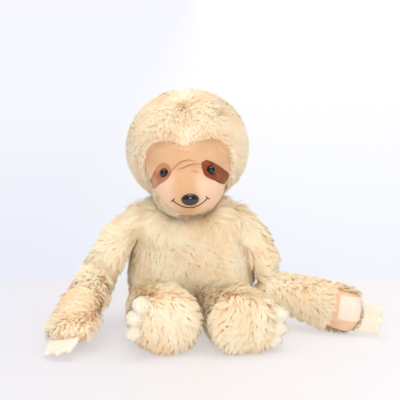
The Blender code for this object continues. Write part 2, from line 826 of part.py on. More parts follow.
class Arm:
    """One arm's places and directions, worked out from how it lies."""

    def __init__(self, side, swing, spread, heading, end_height, palm_facing):
        normal = shoulder_normal(side)
        down = Vector((side * math.sin(SHOULDER_TILT), 0, -math.cos(SHOULDER_TILT)))
        in_seam = down * math.cos(swing) + FRONT * math.sin(swing)
        self.normal = normal
        self.seam = shoulder_seam_point(side)
        self.shoulder = self.seam + normal * SHOULDER_OFFSET
        self.along = (in_seam * math.cos(spread) + normal * math.sin(spread)).normalized()
        self.elbow = self.shoulder + self.along * UPPER_ARM_LENGTH
        drop = self.elbow.z - end_height
        level = math.sqrt(max(FOREARM_LENGTH**2 - drop**2, 0))
        reach = Vector((math.cos(heading) * level, math.sin(heading) * level, -drop))
        self.forward = reach.normalized()
        self.palm = palm_facing - self.forward * palm_facing.dot(self.forward)
        self.palm.normalize()
        self.across = self.forward.cross(self.palm).normalized()
        self.bend_axis = self.along.cross(self.forward).normalized()
        self.elbow_facing = self.along.copy()
        self.elbow_facing.rotate(Quaternion(self.bend_axis, ELBOW_MIDDLE))

    def upper_form(self, inset, name, runs_out=False):
        """Makes the upper arm, flat at its seam. A cavity runs out past the elbow's cut."""
        across = self.along.orthogonal().normalized()
        radius = ARM_RADIUS - inset
        sections = round_start(radius, math.pi / 2)
        sections.append((UPPER_ARM_LENGTH / 2, radius, radius))
        sections.append((UPPER_ARM_LENGTH, ELBOW_RADIUS - inset, ELBOW_RADIUS - inset))
        form = loft(limb_rings(self.shoulder, self.along, across, sections), name)
        slice_off(form, self.seam + self.normal * (GAP + inset), -self.normal)
        setback = ELBOW_RADIUS * math.sin(ELBOW_HALF_RANGE - ELBOW_FLARE) + GAP
        if not runs_out:
            slice_off(form, self.elbow - self.elbow_facing * setback, self.elbow_facing)
        return form

    def forearm_form(self, inset, name):
        """Makes the forearm: a round elbow that widens and flattens into a paddle hand."""
        elbow = ELBOW_RADIUS - inset
        half_width = HAND_WIDTH / 2 - inset
        half_thick = HAND_THICKNESS / 2 - inset
        hand_start = FOREARM_LENGTH - HAND_CAP
        sections = round_start(elbow, math.pi / 2 - ELBOW_FLARE)
        for along_share, growth_share in FOREARM_SHARES:
            wide = elbow + (half_width - elbow) * growth_share
            thick = elbow + (half_thick - elbow) * growth_share
            sections.append((hand_start * along_share, wide, thick))
        last_wide, last_thick = sections[-1][1:]
        start = sections[-1][0]
        sections += round_end(start, FOREARM_LENGTH - inset - start, last_wide, last_thick)
        form = loft(limb_rings(self.elbow, self.forward, self.across, sections), name)
        return slice_off(form, UP * inset, -UP)

    def palm_middle(self):
        """Gives the place under the palm's middle, just over the hand's own middle."""
        rise = HAND_THICKNESS * PALM_RISE_SHARE
        return self.elbow + self.forward * (FOREARM_LENGTH * PALM_SHARE) + self.palm * rise

    def palm_block(self, length, width, corner, name, ahead=0, aside=0):
        """Makes a block that picks a rectangle out of the palm's side, with or without its corners."""
        middle = self.palm_middle() + self.forward * ahead - self.across * aside
        outline = []
        for a, b in ((1, 1), (-1, 1), (-1, -1), (1, -1)):
            ends = [(0, corner), (corner, 0)] if a * b > 0 else [(corner, 0), (0, corner)]
            for short, narrow in ends if corner else ends[:1]:
                along = self.forward * (a * (length / 2 - short))
                across = self.across * (b * (width / 2 - narrow))
                outline.append(middle + along + across)
        return extrude_outline(outline, self.palm, HAND_THICKNESS, name)

    def hand_layer(self, outer, inner, block, name):
        """Makes a sheet that lies on the hand between two insets, inside a block."""
        return sheet_between(
            block, self.forearm_form(outer, "outer"), self.forearm_form(inner, "inner"), name
        )

    def claws(self, name):
        """Makes the hand's flat velour claws, three points on one sewn piece."""
        root = self.elbow + self.forward * (FOREARM_LENGTH - HAND_CLAW_TUCK)
        back = -self.palm * (HAND_CLAW_THICKNESS / 2)
        outline = []
        for along_share, across_share in HAND_CLAW_SHARES:
            along = self.forward * ((HAND_CLAW_LENGTH + HAND_CLAW_TUCK) * along_share)
            across = self.across * (HAND_CLAW_WIDTH * across_share)
            outline.append(root + along + across + back)
        made = extrude_outline(outline, self.palm, HAND_CLAW_THICKNESS, name)
        builder = bmesh.new()
        builder.from_mesh(made.data)
        bmesh.ops.bevel(
            builder, geom=builder.edges[:], offset=HAND_CLAW_BEVEL, segments=1, affect="EDGES"
        )
        builder.to_mesh(made.data)
        builder.free()
        cut(made, self.forearm_form(-GAP, "hand"))
        return slice_off(made, Vector((0, 0, 0)), -UP)


def make_arm(name, arm, cloth):
    """Makes one arm: the upper arm on its seam, and the forearm with palm, tape and claws."""
    shoulder = make_pivot(f"shoulder_{name}", arm.seam)
    elbow = make_pivot(f"elbow_{name}", arm.elbow)
    upper = arm.upper_form(0, f"upper_arm_cover_{name}")
    cut(upper, arm.upper_form(PLUSH_WALL, "cavity", runs_out=True))
    filling = arm.upper_form(PLUSH_WALL + GAP, f"upper_arm_stuffing_{name}")
    for piece in (upper, filling):
        cut(piece, socket(arm.elbow, ELBOW_RADIUS))
    finish(upper, cloth["plush"], shoulder)
    finish(filling, cloth["fill"], shoulder)
    forearm = arm.forearm_form(0, f"forearm_cover_{name}")
    cut(forearm, arm.forearm_form(PLUSH_WALL, "cavity"))
    cut(forearm, rod(arm.elbow, -arm.forward, ARM_HOLE_RADIUS, ELBOW_RADIUS + OVERRUN, LIMB_SIDES, "mouth"))
    cut(forearm, arm.palm_block(PALM_LENGTH, PALM_WIDTH, PALM_CORNER, "palm"))
    pad_outer = PLUSH_WALL - VELOUR_WALL
    pad_block = arm.palm_block(PALM_LENGTH - 2 * GAP, PALM_WIDTH - 2 * GAP, PALM_CORNER, "pad")
    pad = arm.hand_layer(pad_outer, PLUSH_WALL, pad_block, f"palm_pad_{name}")
    tape_block = arm.palm_block(TAPE_LENGTH, TAPE_WIDTH, 0, "tape", TAPE_AHEAD, TAPE_ASIDE)
    tape = arm.hand_layer(pad_outer - GAP - TAPE_WALL, pad_outer - GAP, tape_block, f"palm_tape_{name}")
    filling = arm.forearm_form(PLUSH_WALL + GAP, f"forearm_stuffing_{name}")
    finish(forearm, cloth["plush"], elbow)
    finish(filling, cloth["fill"], elbow)
    finish(pad, cloth["velour"], elbow)
    finish(tape, cloth["tape"], elbow)
    finish(arm.claws(f"hand_claws_{name}"), cloth["claw"], elbow)


class Leg:
    """One leg's places and directions."""

    def __init__(self, side, toe_turn, toe_lean):
        self.hip = hip_centre(side)
        foot_x = FEET_SHIFT + side * (FOOT_WIDTH + FOOT_SPACING) / 2
        sideways = foot_x - self.hip.x
        ahead = math.sqrt(LEG_LENGTH**2 - sideways**2)
        self.forward = Vector((sideways, -ahead, 0)).normalized()
        self.across = self.forward.cross(UP).normalized()
        self.toe_seat = -self.across * math.cos(toe_turn) + UP * math.sin(toe_turn)
        self.toe = self.toe_seat * math.cos(toe_lean) + self.forward * math.sin(toe_lean)
        self.toe_side = self.forward.cross(self.toe_seat).normalized()

    def form(self, inset, name):
        """Makes the leg: a round head at the hip that swells into a broad, blunt foot."""
        hip = HIP_RADIUS - inset
        half_width = FOOT_WIDTH / 2 - inset
        half_height = FOOT_HEIGHT / 2 - inset
        sections = round_start(hip, math.pi / 2 - HIP_FLARE)
        for along_share, growth_share in LEG_SHARES:
            wide = hip + (half_width - hip) * growth_share
            high = hip + (half_height - hip) * growth_share
            sections.append((LEG_LENGTH * along_share, wide, high))
        last_wide, last_high = sections[-1][1:]
        sections += round_end(LEG_LENGTH, FOOT_CAP - inset, last_wide, last_high)
        form = loft(limb_rings(self.hip, self.forward, self.across, sections), name)
        return slice_off(form, UP * inset, -UP)

    def toes(self, name):
        """Makes the foot's claws: a row of puffs sewn from one velour strip."""
        middle = self.hip + self.forward * (LEG_LENGTH * TOE_SEAT_SHARE)
        edge = FOOT_WIDTH / 2 * TOE_SEAT_SHARE
        made = None
        for i in range(TOE_COUNT):
            step = (i - (TOE_COUNT - 1) / 2) * TOE_PITCH_SHARE * TOE_HEIGHT
            sag = edge - math.sqrt(edge**2 - step**2)
            centre = middle + self.toe_seat * (edge - sag) + self.toe * TOE_OUT + self.toe_side * step
            half_sizes = (TOE_HEIGHT / 2, TOE_WIDTH / 2, TOE_LENGTH / 2)
            across = (self.toe_side, self.toe.cross(self.toe_side))
            puff = ellipsoid(centre, half_sizes, (*across, self.toe), TOE_SIDES, name)
            made = puff if made is None else fuse(made, puff)
        cut(made, self.form(-GAP, "foot"))
        return slice_off(made, Vector((0, 0, 0)), -UP)


def make_leg(name, leg, cloth):
    """Makes one leg: its cover, the sole sewn round its front, the stuffing and the claws."""
    hip = make_pivot(f"hip_{name}", leg.hip)
    seam = leg.hip + leg.forward * (LEG_LENGTH * SOLE_SEAM_SHARE)
    cover = cut(leg.form(0, f"leg_cover_{name}"), leg.form(PLUSH_WALL, "cavity"))
    cut(cover, rod(leg.hip, -leg.forward, LEG_HOLE_RADIUS, HIP_RADIUS + OVERRUN, LIMB_SIDES, "mouth"))
    sole = cover.copy()
    sole.data = cover.data.copy()
    sole.name = f"foot_sole_{name}"
    bpy.context.scene.collection.objects.link(sole)
    reach = LEG_LENGTH + OVERRUN
    keep(sole, rod(seam + leg.forward * (GAP / 2), leg.forward, FOOT_WIDTH, reach, LIMB_SIDES, "front"))
    cut(cover, rod(seam - leg.forward * (GAP / 2), leg.forward, FOOT_WIDTH, reach, LIMB_SIDES, "front"))
    filling = leg.form(PLUSH_WALL + GAP, f"leg_stuffing_{name}")
    finish(cover, cloth["plush"], hip)
    finish(sole, cloth["plush"], hip)
    finish(filling, cloth["fill"], hip)
    finish(leg.toes(f"foot_claws_{name}"), cloth["claw"], hip)


def main():
    """Builds the whole toy."""
    clear_scene()
    cloth = {key: make_material(*look) for key, look in MATERIALS.items()}
    make_body(make_pivot("body", Vector((0, 0, 0))), cloth["plush"], cloth["fill"])
    make_neck(make_pivot("neck", neck_centre()), cloth["plush"], cloth["fill"])
    make_head(make_pivot("head", neck_centre()), cloth)
    for name, arm in ARMS.items():
        make_arm(name, Arm(SIDES[name], *arm), cloth)
    for name, toes in TOES.items():
        make_leg(name, Leg(SIDES[name], *toes), cloth)


main()
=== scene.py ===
"""The looks of a seated plush sloth: stuffed covers with a long pile, a velour face and velour claws.

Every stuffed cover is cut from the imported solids, puffed up by a cloth simulation and then given its
pile, which is grown as locks of separate fibres. Metres, +Z up. The toy looks along -Y.
"""

import json
import logging
import math
from collections.abc import Callable, Sequence
from dataclasses import dataclass
from enum import Enum

import bmesh
import bpy
import numpy as np
from mathutils import Matrix, Vector
from mathutils.bvhtree import BVHTree
from mathutils.kdtree import KDTree


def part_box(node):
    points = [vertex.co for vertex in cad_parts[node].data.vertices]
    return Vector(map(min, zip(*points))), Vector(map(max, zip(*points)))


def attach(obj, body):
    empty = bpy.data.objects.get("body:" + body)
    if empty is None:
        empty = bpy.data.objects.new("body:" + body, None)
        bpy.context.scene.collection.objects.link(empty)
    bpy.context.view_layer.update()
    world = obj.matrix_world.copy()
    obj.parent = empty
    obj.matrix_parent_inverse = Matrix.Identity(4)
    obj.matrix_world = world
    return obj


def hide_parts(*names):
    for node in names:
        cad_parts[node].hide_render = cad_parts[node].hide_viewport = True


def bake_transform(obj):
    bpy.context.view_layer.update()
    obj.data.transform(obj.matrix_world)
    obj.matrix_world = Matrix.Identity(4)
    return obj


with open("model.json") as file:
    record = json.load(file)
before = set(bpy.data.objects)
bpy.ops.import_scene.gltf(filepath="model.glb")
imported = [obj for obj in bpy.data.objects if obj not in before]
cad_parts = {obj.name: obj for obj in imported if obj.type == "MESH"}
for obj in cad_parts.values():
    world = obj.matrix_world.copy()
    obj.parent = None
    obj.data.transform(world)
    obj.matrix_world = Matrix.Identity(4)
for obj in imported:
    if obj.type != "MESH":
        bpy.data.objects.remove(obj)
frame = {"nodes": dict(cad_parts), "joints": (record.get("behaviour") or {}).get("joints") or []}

MM = 0.001
SIM_STEPS = 20
FIBRE_POINTS = 7
FIBRES_TO_A_PIECE = 39000
FRONT = Vector((0, -1, 0))
LOG = logging.getLogger("plush sloth")

Rgb = tuple[float, float, float]
Band = tuple[float, float]
Comb = Callable[[np.ndarray, np.ndarray], np.ndarray]
Mask = Callable[[np.ndarray, np.ndarray], np.ndarray]
Free = Callable[[np.ndarray], np.ndarray]


def shade(red: int, green: int, blue: int) -> Rgb:
    """Turns a colour as a screen shows it into the linear colour that a shader takes.

    Args:
        red: Red, from 0 to 255.
        green: Green, from 0 to 255.
        blue: Blue, from 0 to 255.

    Returns:
        The linear colour.
    """
    parts = []
    for value in (red, green, blue):
        share = value / 255
        parts.append(share / 12.92 if share <= 0.04045 else ((share + 0.055) / 1.055) ** 2.4)
    return tuple(parts)


class Side(Enum):
    """The toy's own left and right."""

    LEFT = "left"
    RIGHT = "right"

    @property
    def sign(self) -> int:
        """Gives the side's direction along X."""
        return 1 if self is Side.LEFT else -1


class Slot(Enum):
    """The record's material slots."""

    PLUSH = "plush"
    FACE = "face_velour"
    PATCH = "patch_velour"
    CLAW = "claw_velour"
    TAPE = "tape"
    THREAD = "thread"
    GLOSS = "gloss_black"


class Graph:
    """A node tree while it is put together."""

    def __init__(self, tree: bpy.types.NodeTree) -> None:
        """Takes a tree up.

        Args:
            tree: The node tree.
        """
        self.tree = tree

    def node(self, kind: str, inputs: dict | None = None, **settings: object) -> bpy.types.Node:
        """Adds a node.

        Args:
            kind: The node's type.
            inputs: Values or other nodes' outputs for its inputs, by name or number.
            **settings: The node's own settings.

        Returns:
            The new node.
        """
        made = self.tree.nodes.new(kind)
        for key, value in settings.items():
            setattr(made, key, value)
        for key, value in (inputs or {}).items():
            self.set(made, key, value)
        return made

    def set(self, node: bpy.types.Node, key: str | int, value: object) -> None:
        """Sets one input of a node to a value or links an output to it.

        Args:
            node: The node.
            key: The input's name or number.
            value: A value, or the output to link.
        """
        if isinstance(value, bpy.types.NodeSocket):
            self.tree.links.new(value, node.inputs[key])
        elif isinstance(value, tuple) and len(value) == 3 and node.inputs[key].type == "RGBA":
            node.inputs[key].default_value = (*value, 1)
        else:
            node.inputs[key].default_value = value

    def sum(self, kind: str, *values: object) -> bpy.types.NodeSocket:
        """Works out one sum.

        Args:
            kind: The Math node's operation.
            *values: Numbers or outputs.

        Returns:
            The result.
        """
        return self.node("ShaderNodeMath", dict(enumerate(values)), operation=kind).outputs[0]

    def fade(self, value: bpy.types.NodeSocket, band: Band, way: str = "LINEAR") -> bpy.types.NodeSocket:
        """Gives a share that goes from 0 at one value to 1 at another.

        Args:
            value: The value.
            band: The two values.
            way: How the share goes between them.

        Returns:
            The share.
        """
        inputs = {"Value": value, "From Min": band[0], "From Max": band[1]}
        return self.node("ShaderNodeMapRange", inputs, interpolation_type=way).outputs[0]

    def direct(self) -> bpy.types.NodeSocket:
        """Gives 1 for what the camera sees, in a reflection and through glass too, and 0 for light."""
        path = self.node("ShaderNodeLightPath").outputs
        mirrored = self.sum("MAXIMUM", path["Is Camera Ray"], path["Is Glossy Ray"])
        return self.sum("MAXIMUM", mirrored, path["Is Transmission Ray"])


class Recipe(Graph):
    """A material's nodes while they are put together."""

    def __init__(self, name: str) -> None:
        """Starts a material with one Principled shader.

        Args:
            name: The material's name.
        """
        self.material = bpy.data.materials.new(name)
        self.material.use_nodes = True
        super().__init__(self.material.node_tree)
        self.shader = self.tree.nodes["Principled BSDF"]
        self.output = self.tree.nodes["Material Output"]

    def dress(self, **values: object) -> None:
        """Sets the shader's own inputs, spaces in their names written as underscores."""
        for key, value in values.items():
            self.set(self.shader, key.replace("_", " "), value)

    def place(self, turn: tuple = (0, 0, 0), middle: tuple = (0, 0, 0)) -> bpy.types.NodeSocket:
        """Gives the point on the piece, moved to a pattern's middle and turned to its axes.

        Args:
            turn: The pattern's turn round X, Y and Z.
            middle: The pattern's middle.

        Returns:
            The point.
        """
        point = self.node("ShaderNodeTexCoord").outputs["Object"]
        inputs = {"Vector": point, "Location": middle, "Rotation": turn}
        return self.node("ShaderNodeMapping", inputs, vector_type="TEXTURE").outputs[0]

    def noise(self, scale: float, detail: float = 2, roughness: float = 0.5) -> bpy.types.NodeSocket:
        """Gives a noise from 0 to 1 over the piece.

        Args:
            scale: Features to a metre.
            detail: Octaves.
            roughness: How strong the fine octaves are.

        Returns:
            The noise.
        """
        inputs = {"Vector": self.place(), "Scale": scale, "Detail": detail, "Roughness": roughness}
        return self.node("ShaderNodeTexNoise", inputs).outputs["Fac"]

    def ramp(self, value: bpy.types.NodeSocket, *stops: tuple[float, Rgb]) -> bpy.types.NodeSocket:
        """Gives the colour that a value picks from a row of stops.

        Args:
            value: The value.
            *stops: Places from 0 to 1, each with its colour.

        Returns:
            The colour.
        """
        made = self.node("ShaderNodeValToRGB", {"Fac": value})
        row = made.color_ramp.elements
        while len(row) < len(stops):
            row.new(0.5)
        for element, (at, colour) in zip(row, stops):
            element.position = at
            element.color = (*colour, 1)
        return made.outputs["Color"]

    def mix(self, share: object, first: object, second: object, way: str = "MIX") -> bpy.types.NodeSocket:
        """Mixes two colours.

        Args:
            share: How much of the second, a number or an output.
            first: The first colour.
            second: The second colour.
            way: The blend type.

        Returns:
            The mixed colour.
        """
        made = self.node("ShaderNodeMix", data_type="RGBA", blend_type=way)
        for key, value in ((0, share), (6, first), (7, second)):
            self.set(made, key, value)
        return made.outputs[2]

    def bump(self, height: bpy.types.NodeSocket, strength: float, depth: float) -> None:
        """Presses a height into the shader's normal.

        Args:
            height: The height, from 0 to 1.
            strength: How strongly, from 0 to 1.
            depth: What a height of 1 stands for, in metres.
        """
        inputs = {"Height": height, "Strength": strength, "Distance": depth}
        self.set(self.shader, "Normal", self.node("ShaderNodeBump", inputs).outputs[0])


@dataclass(frozen=True)
class PileFinish:
    """The fibres' colour: pale at the tips, with warm, darker painted shade at the cloth, read from the
    fibre's own map.
    """

    name: str = "cream pile"
    root_shade_dark: Rgb = shade(230, 188, 142)
    root_shade_light: Rgb = shade(252, 226, 188)
    tip_warm: Rgb = shade(253, 229, 192)
    tip_pale: Rgb = shade(255, 249, 228)
    sheen: float = 0.1

    def material(self) -> bpy.types.Material:
        """Makes the material."""
        recipe = Recipe(self.name)
        spot = recipe.node("ShaderNodeUVMap", uv_map="OFBake").outputs[0]
        split = recipe.node("ShaderNodeSeparateXYZ", {0: spot})
        tone, along = split.outputs[0], split.outputs[1]
        # Painted shade: the root colours stand in for the shade deep in the pile, whose fibres cast no
        # shadow; the fade carries them out to the pale tips.
        root = recipe.ramp(tone, (0.05, self.root_shade_dark), (0.95, self.root_shade_light))
        tip = recipe.ramp(tone, (0.10, self.tip_warm), (0.90, self.tip_pale))
        fade = recipe.ramp(along, (0.05, (0, 0, 0)), (0.5, (1, 1, 1)))
        recipe.dress(Base_Color=recipe.mix(fade, root, tip), Roughness=0.85, Specular_IOR_Level=0.15)
        recipe.dress(Sheen_Weight=self.sheen, Sheen_Roughness=0.5, Sheen_Tint=(1.0, 0.95, 0.86))
        return recipe.material


@dataclass(frozen=True)
class BackingFinish:
    """The knitted cloth that the pile stands on: its own tan, kept darker than the fibre tips as painted
    shade in the gaps of the pile.
    """

    name: str = "knitted backing"
    dark: Rgb = shade(230, 188, 140)
    light: Rgb = shade(246, 214, 174)
    stitches: float = 700

    def material(self) -> bpy.types.Material:
        """Makes the material."""
        recipe = Recipe(self.name)
        knit = recipe.noise(self.stitches, 3, 0.6)
        broad = recipe.noise(45, 3, 0.6)
        # Partly painted shade: the cloth's tan is darker than the fibre tips, for the shade between the
        # fibres.
        colour = recipe.ramp(broad, (0.3, self.dark), (0.7, self.light))
        recipe.dress(Base_Color=recipe.mix(0.25, colour, knit, "MULTIPLY"), Roughness=0.95)
        recipe.dress(Specular_IOR_Level=0.1)
        recipe.bump(knit, 0.5, 0.5 * MM)
        return recipe.material


@dataclass(frozen=True)
class VelourFinish:
    """Short-pile velour: a fine nap, brushed lighter and darker in broad strokes."""

    name: str
    base: Rgb
    brushed: Rgb
    nap: float = 1500
    broad: float = 60
    depth: float = 0.25 * MM
    sheen: float = 0.35

    def colour(self, recipe: Recipe) -> bpy.types.NodeSocket:
        """Gives the cloth's colour before the nap's fine shade."""
        return recipe.ramp(recipe.noise(self.broad, 4, 0.6), (0.35, self.base), (0.68, self.brushed))

    def material(self) -> bpy.types.Material:
        """Makes the material."""
        recipe = Recipe(self.name)
        nap = recipe.noise(self.nap, 2, 0.7)
        fine = recipe.ramp(nap, (0.25, (0.86, 0.85, 0.84)), (0.65, (1, 1, 1)))
        recipe.dress(Base_Color=recipe.mix(1.0, self.colour(recipe), fine, "MULTIPLY"))
        recipe.dress(Roughness=0.8, Specular_IOR_Level=0.2, Sheen_Weight=self.sheen)
        recipe.dress(Sheen_Roughness=0.45, Sheen_Tint=(1.0, 0.93, 0.86))
        recipe.bump(nap, 0.35, self.depth)
        return recipe.material


@dataclass(frozen=True)
class FaceVelourFinish(VelourFinish):
    """The face's velour: tan down the middle, paler and pinker towards the cheeks and temples, and darkened
    with painted shade in the bridge's creases.
    """

    cheek: Rgb = shade(247, 209, 178)
    bridge: Rgb = shade(228, 180, 137)
    # Painted shade: the colour that the creases darken towards.
    painted_crease_shade: Rgb = shade(186, 128, 92)
    middle: tuple[float, float, float] = (0.0, 0.0, 0.0)
    column: Band = (5 * MM, 22 * MM)
    bridge_top: Band = (4 * MM, -14 * MM)
    bridge_foot: Band = (-72 * MM, -52 * MM)
    cheek_top: Band = (-12 * MM, -30 * MM)
    edge_drift: float = 30 * MM
    edge_waves: float = 28

    def colour(self, recipe: Recipe) -> bpy.types.NodeSocket:
        """Gives the cloth's colour before the nap's fine shade."""
        tan = super().colour(recipe)
        spot = recipe.node("ShaderNodeSeparateXYZ", {0: recipe.place(middle=self.middle)}).outputs
        across, height = spot[0], spot[2]
        bridge = [recipe.fade(height, band) for band in (self.bridge_top, self.bridge_foot)]
        tan = recipe.mix(recipe.sum("MULTIPLY", *bridge), tan, self.bridge)
        drift = recipe.sum("SUBTRACT", recipe.noise(self.edge_waves), 0.5)
        wander = recipe.sum("MULTIPLY", drift, self.edge_drift)
        aside = recipe.sum("ADD", recipe.sum("ABSOLUTE", across), wander)
        share = recipe.fade(aside, self.column, "SMOOTHSTEP")
        share = recipe.sum("MULTIPLY", share, recipe.fade(height, self.cheek_top))
        # Painted shade: the creases are darkened by the share that the face's mesh carries.
        painted_shade_share = recipe.node("ShaderNodeAttribute", attribute_name="painted_crease_shade").outputs["Fac"]
        return recipe.mix(painted_shade_share, recipe.mix(share, tan, self.cheek), self.painted_crease_shade)


@dataclass(frozen=True)
class TapeFinish:
    """Woven hook-and-loop tape: a fine grid of loops."""

    name: str
    turn: tuple[float, float, float] = (0.0, 0.0, 0.0)
    base: Rgb = shade(252, 228, 206)
    light: Rgb = shade(255, 238, 222)
    pitch: float = 1.1 * MM

    def material(self) -> bpy.types.Material:
        """Makes the material."""
        recipe = Recipe(self.name)
        spot = recipe.place(turn=self.turn)
        waves = []
        for way in ("X", "Y"):
            inputs = {"Vector": spot, "Scale": 1 / (self.pitch * 20) * math.tau, "Distortion": 0.4}
            wave = recipe.node("ShaderNodeTexWave", inputs, wave_type="BANDS", bands_direction=way)
            waves.append(wave.outputs["Fac"])
        weave = recipe.sum("MULTIPLY", *waves)
        fuzz = recipe.noise(2200, 2, 0.7)
        height = recipe.sum("ADD", recipe.sum("MULTIPLY", weave, 0.7), recipe.sum("MULTIPLY", fuzz, 0.3))
        recipe.dress(Base_Color=recipe.ramp(height, (0.05, self.base), (0.6, self.light)))
        recipe.dress(Roughness=0.6, Specular_IOR_Level=0.3, Sheen_Weight=0.2)
        recipe.bump(height, 0.5, 0.3 * MM)
        return recipe.material


@dataclass(frozen=True)
class GlossFinish:
    """Moulded black plastic, polished, with faint handling marks."""

    name: str
    base: Rgb = shade(10, 8, 9)
    polished: float = 0.08
    handled: float = 0.14
    shine: float = 0.8

    def material(self) -> bpy.types.Material:
        """Makes the material."""
        recipe = Recipe(self.name)
        marks = recipe.noise(420, 4, 0.65)
        cloud = recipe.noise(120, 2, 0.5)
        paler = tuple(part * 1.6 + 0.004 for part in self.base)
        recipe.dress(Base_Color=recipe.ramp(cloud, (0.3, self.base), (0.8, paler)))
        rough = {"Value": marks, "To Min": self.polished, "To Max": self.handled}
        recipe.dress(Roughness=recipe.node("ShaderNodeMapRange", rough).outputs[0])
        recipe.dress(Specular_IOR_Level=self.shine)
        recipe.bump(marks, 0.03, 0.05 * MM)
        return recipe.material


@dataclass(frozen=True)
class ThreadFinish:
    """Dark embroidery thread with its twist."""

    name: str = "dark thread"
    base: Rgb = shade(34, 18, 18)
    light: Rgb = shade(66, 40, 38)

    def material(self) -> bpy.types.Material:
        """Makes the material."""
        recipe = Recipe(self.name)
        inputs = {"Vector": recipe.place(turn=(0, math.radians(40), 0)), "Scale": 260, "Distortion": 1.5}
        twist = recipe.node("ShaderNodeTexWave", inputs, wave_type="BANDS").outputs["Fac"]
        recipe.dress(Base_Color=recipe.ramp(twist, (0.2, self.base), (0.9, self.light)), Roughness=0.6)
        recipe.dress(Sheen_Weight=0.2)
        recipe.bump(twist, 0.4, 0.15 * MM)
        return recipe.material


@dataclass(frozen=True)
class PlainFinish:
    """A hidden part's material, mottled over its surface."""

    name: str
    dark: Rgb
    light: Rgb
    roughness: float
    grain: float

    def material(self) -> bpy.types.Material:
        """Makes the material."""
        recipe = Recipe(self.name)
        grain = recipe.noise(self.grain, 4, 0.6)
        recipe.dress(Base_Color=recipe.ramp(grain, (0.3, self.dark), (0.7, self.light)))
        recipe.dress(Roughness=self.roughness)
        recipe.bump(grain, 0.3, 0.3 * MM)
        return recipe.material


def alone(piece: bpy.types.Object) -> None:
    """Selects one piece and nothing else, and makes it the active one."""
    bpy.ops.object.select_all(action="DESELECT")
    piece.select_set(True)
    bpy.context.view_layer.objects.active = piece


def finish_with(piece: bpy.types.Object, kind: str, **settings: object) -> None:
    """Adds a modifier to a piece and applies it.

    Args:
        piece: The piece.
        kind: The modifier's type.
        **settings: The modifier's settings.
    """
    alone(piece)
    bpy.ops.object.modifier_add(type=kind)
    modifier = piece.modifiers[-1]
    for key, value in settings.items():
        setattr(modifier, key, value)
    bpy.ops.object.modifier_apply(modifier=modifier.name)


def points_of(piece: bpy.types.Object) -> np.ndarray:
    """Gives a mesh's vertices, one row each."""
    flat = np.empty(len(piece.data.vertices) * 3)
    piece.data.vertices.foreach_get("co", flat)
    return flat.reshape(-1, 3)


def move_points(piece: bpy.types.Object, points: np.ndarray) -> None:
    """Puts a mesh's vertices at new points.

    Args:
        piece: The piece.
        points: The new points, one row each.
    """
    piece.data.vertices.foreach_set("co", np.ascontiguousarray(points).ravel())
    piece.data.update()


def normals_of(piece: bpy.types.Object) -> np.ndarray:
    """Gives a mesh's smooth normals at its vertices."""
    flat = np.empty(len(piece.data.vertices) * 3)
    piece.data.vertices.foreach_get("normal", flat)
    return flat.reshape(-1, 3)


def unit(rows: np.ndarray) -> np.ndarray:
    """Scales every row to length 1."""
    return rows / np.maximum(np.linalg.norm(rows, axis=1, keepdims=True), 1e-9)


def new_piece(name: str, mesh: bpy.types.Mesh) -> bpy.types.Object:
    """Puts a mesh in the scene as a piece at the origin.

    Args:
        name: The piece's name.
        mesh: Its mesh.

    Returns:
        The piece.
    """
    piece = bpy.data.objects.new(name, mesh)
    bpy.context.scene.collection.objects.link(piece)
    return piece


def copy_of(nodes: Sequence[str], name: str) -> bpy.types.Object:
    """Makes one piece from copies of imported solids, each with its doubles merged.

    Args:
        nodes: The solids' names.
        name: The piece's name.

    Returns:
        The piece.
    """
    builder = bmesh.new()
    for node in nodes:
        builder.from_mesh(frame["nodes"][node].data)
    bmesh.ops.remove_doubles(builder, verts=builder.verts, dist=0.002 * MM)
    mesh = bpy.data.meshes.new(name)
    builder.to_mesh(mesh)
    builder.free()
    return new_piece(name, mesh)


def keep_largest(piece: bpy.types.Object) -> None:
    """Removes all of a piece's loose parts but the largest."""
    builder = bmesh.new()
    builder.from_mesh(piece.data)
    left = set(builder.verts)
    parts = []
    while left:
        seed = left.pop()
        part = {seed}
        edge = [seed]
        while edge:
            near = {e.other_vert(v) for v in edge for e in v.link_edges} & left
            left -= near
            part |= near
            edge = list(near)
        parts.append(part)
    parts.sort(key=len)
    spare = [v for part in parts[:-1] for v in part]
    bmesh.ops.delete(builder, geom=spare, context="VERTS")
    builder.to_mesh(piece.data)
    builder.free()


def puff(piece: bpy.types.Object, cap: float, pressure: float = 4.0) -> None:
    """Swells a stuffed cover with a short cloth simulation and keeps the result.

    Args:
        piece: The cover.
        cap: How far any point may move.
        pressure: The stuffing's pressure.
    """
    scene = bpy.context.scene
    before = points_of(piece)
    alone(piece)
    bpy.ops.object.modifier_add(type="CLOTH")
    cloth = piece.modifiers[-1]
    cloth.settings.use_pressure = True
    cloth.settings.uniform_pressure_force = pressure
    cloth.settings.effector_weights.gravity = 0
    cloth.point_cache.frame_start = 1
    cloth.point_cache.frame_end = SIM_STEPS
    for step in range(1, SIM_STEPS + 1):
        scene.frame_set(step)
    swollen = piece.evaluated_get(bpy.context.evaluated_depsgraph_get())
    after = points_of(swollen)
    piece.modifiers.remove(cloth)
    scene.frame_set(1)
    moved = after - before
    length = np.linalg.norm(moved, axis=1, keepdims=True)
    move_points(piece, before + moved * np.minimum(1, cap / np.maximum(length, 1e-9)))


def set_material(piece: bpy.types.Object, material: bpy.types.Material) -> None:
    """Gives a piece one material and smooth shading."""
    piece.data.materials.clear()
    piece.data.materials.append(material)
    alone(piece)
    bpy.ops.object.shade_smooth()


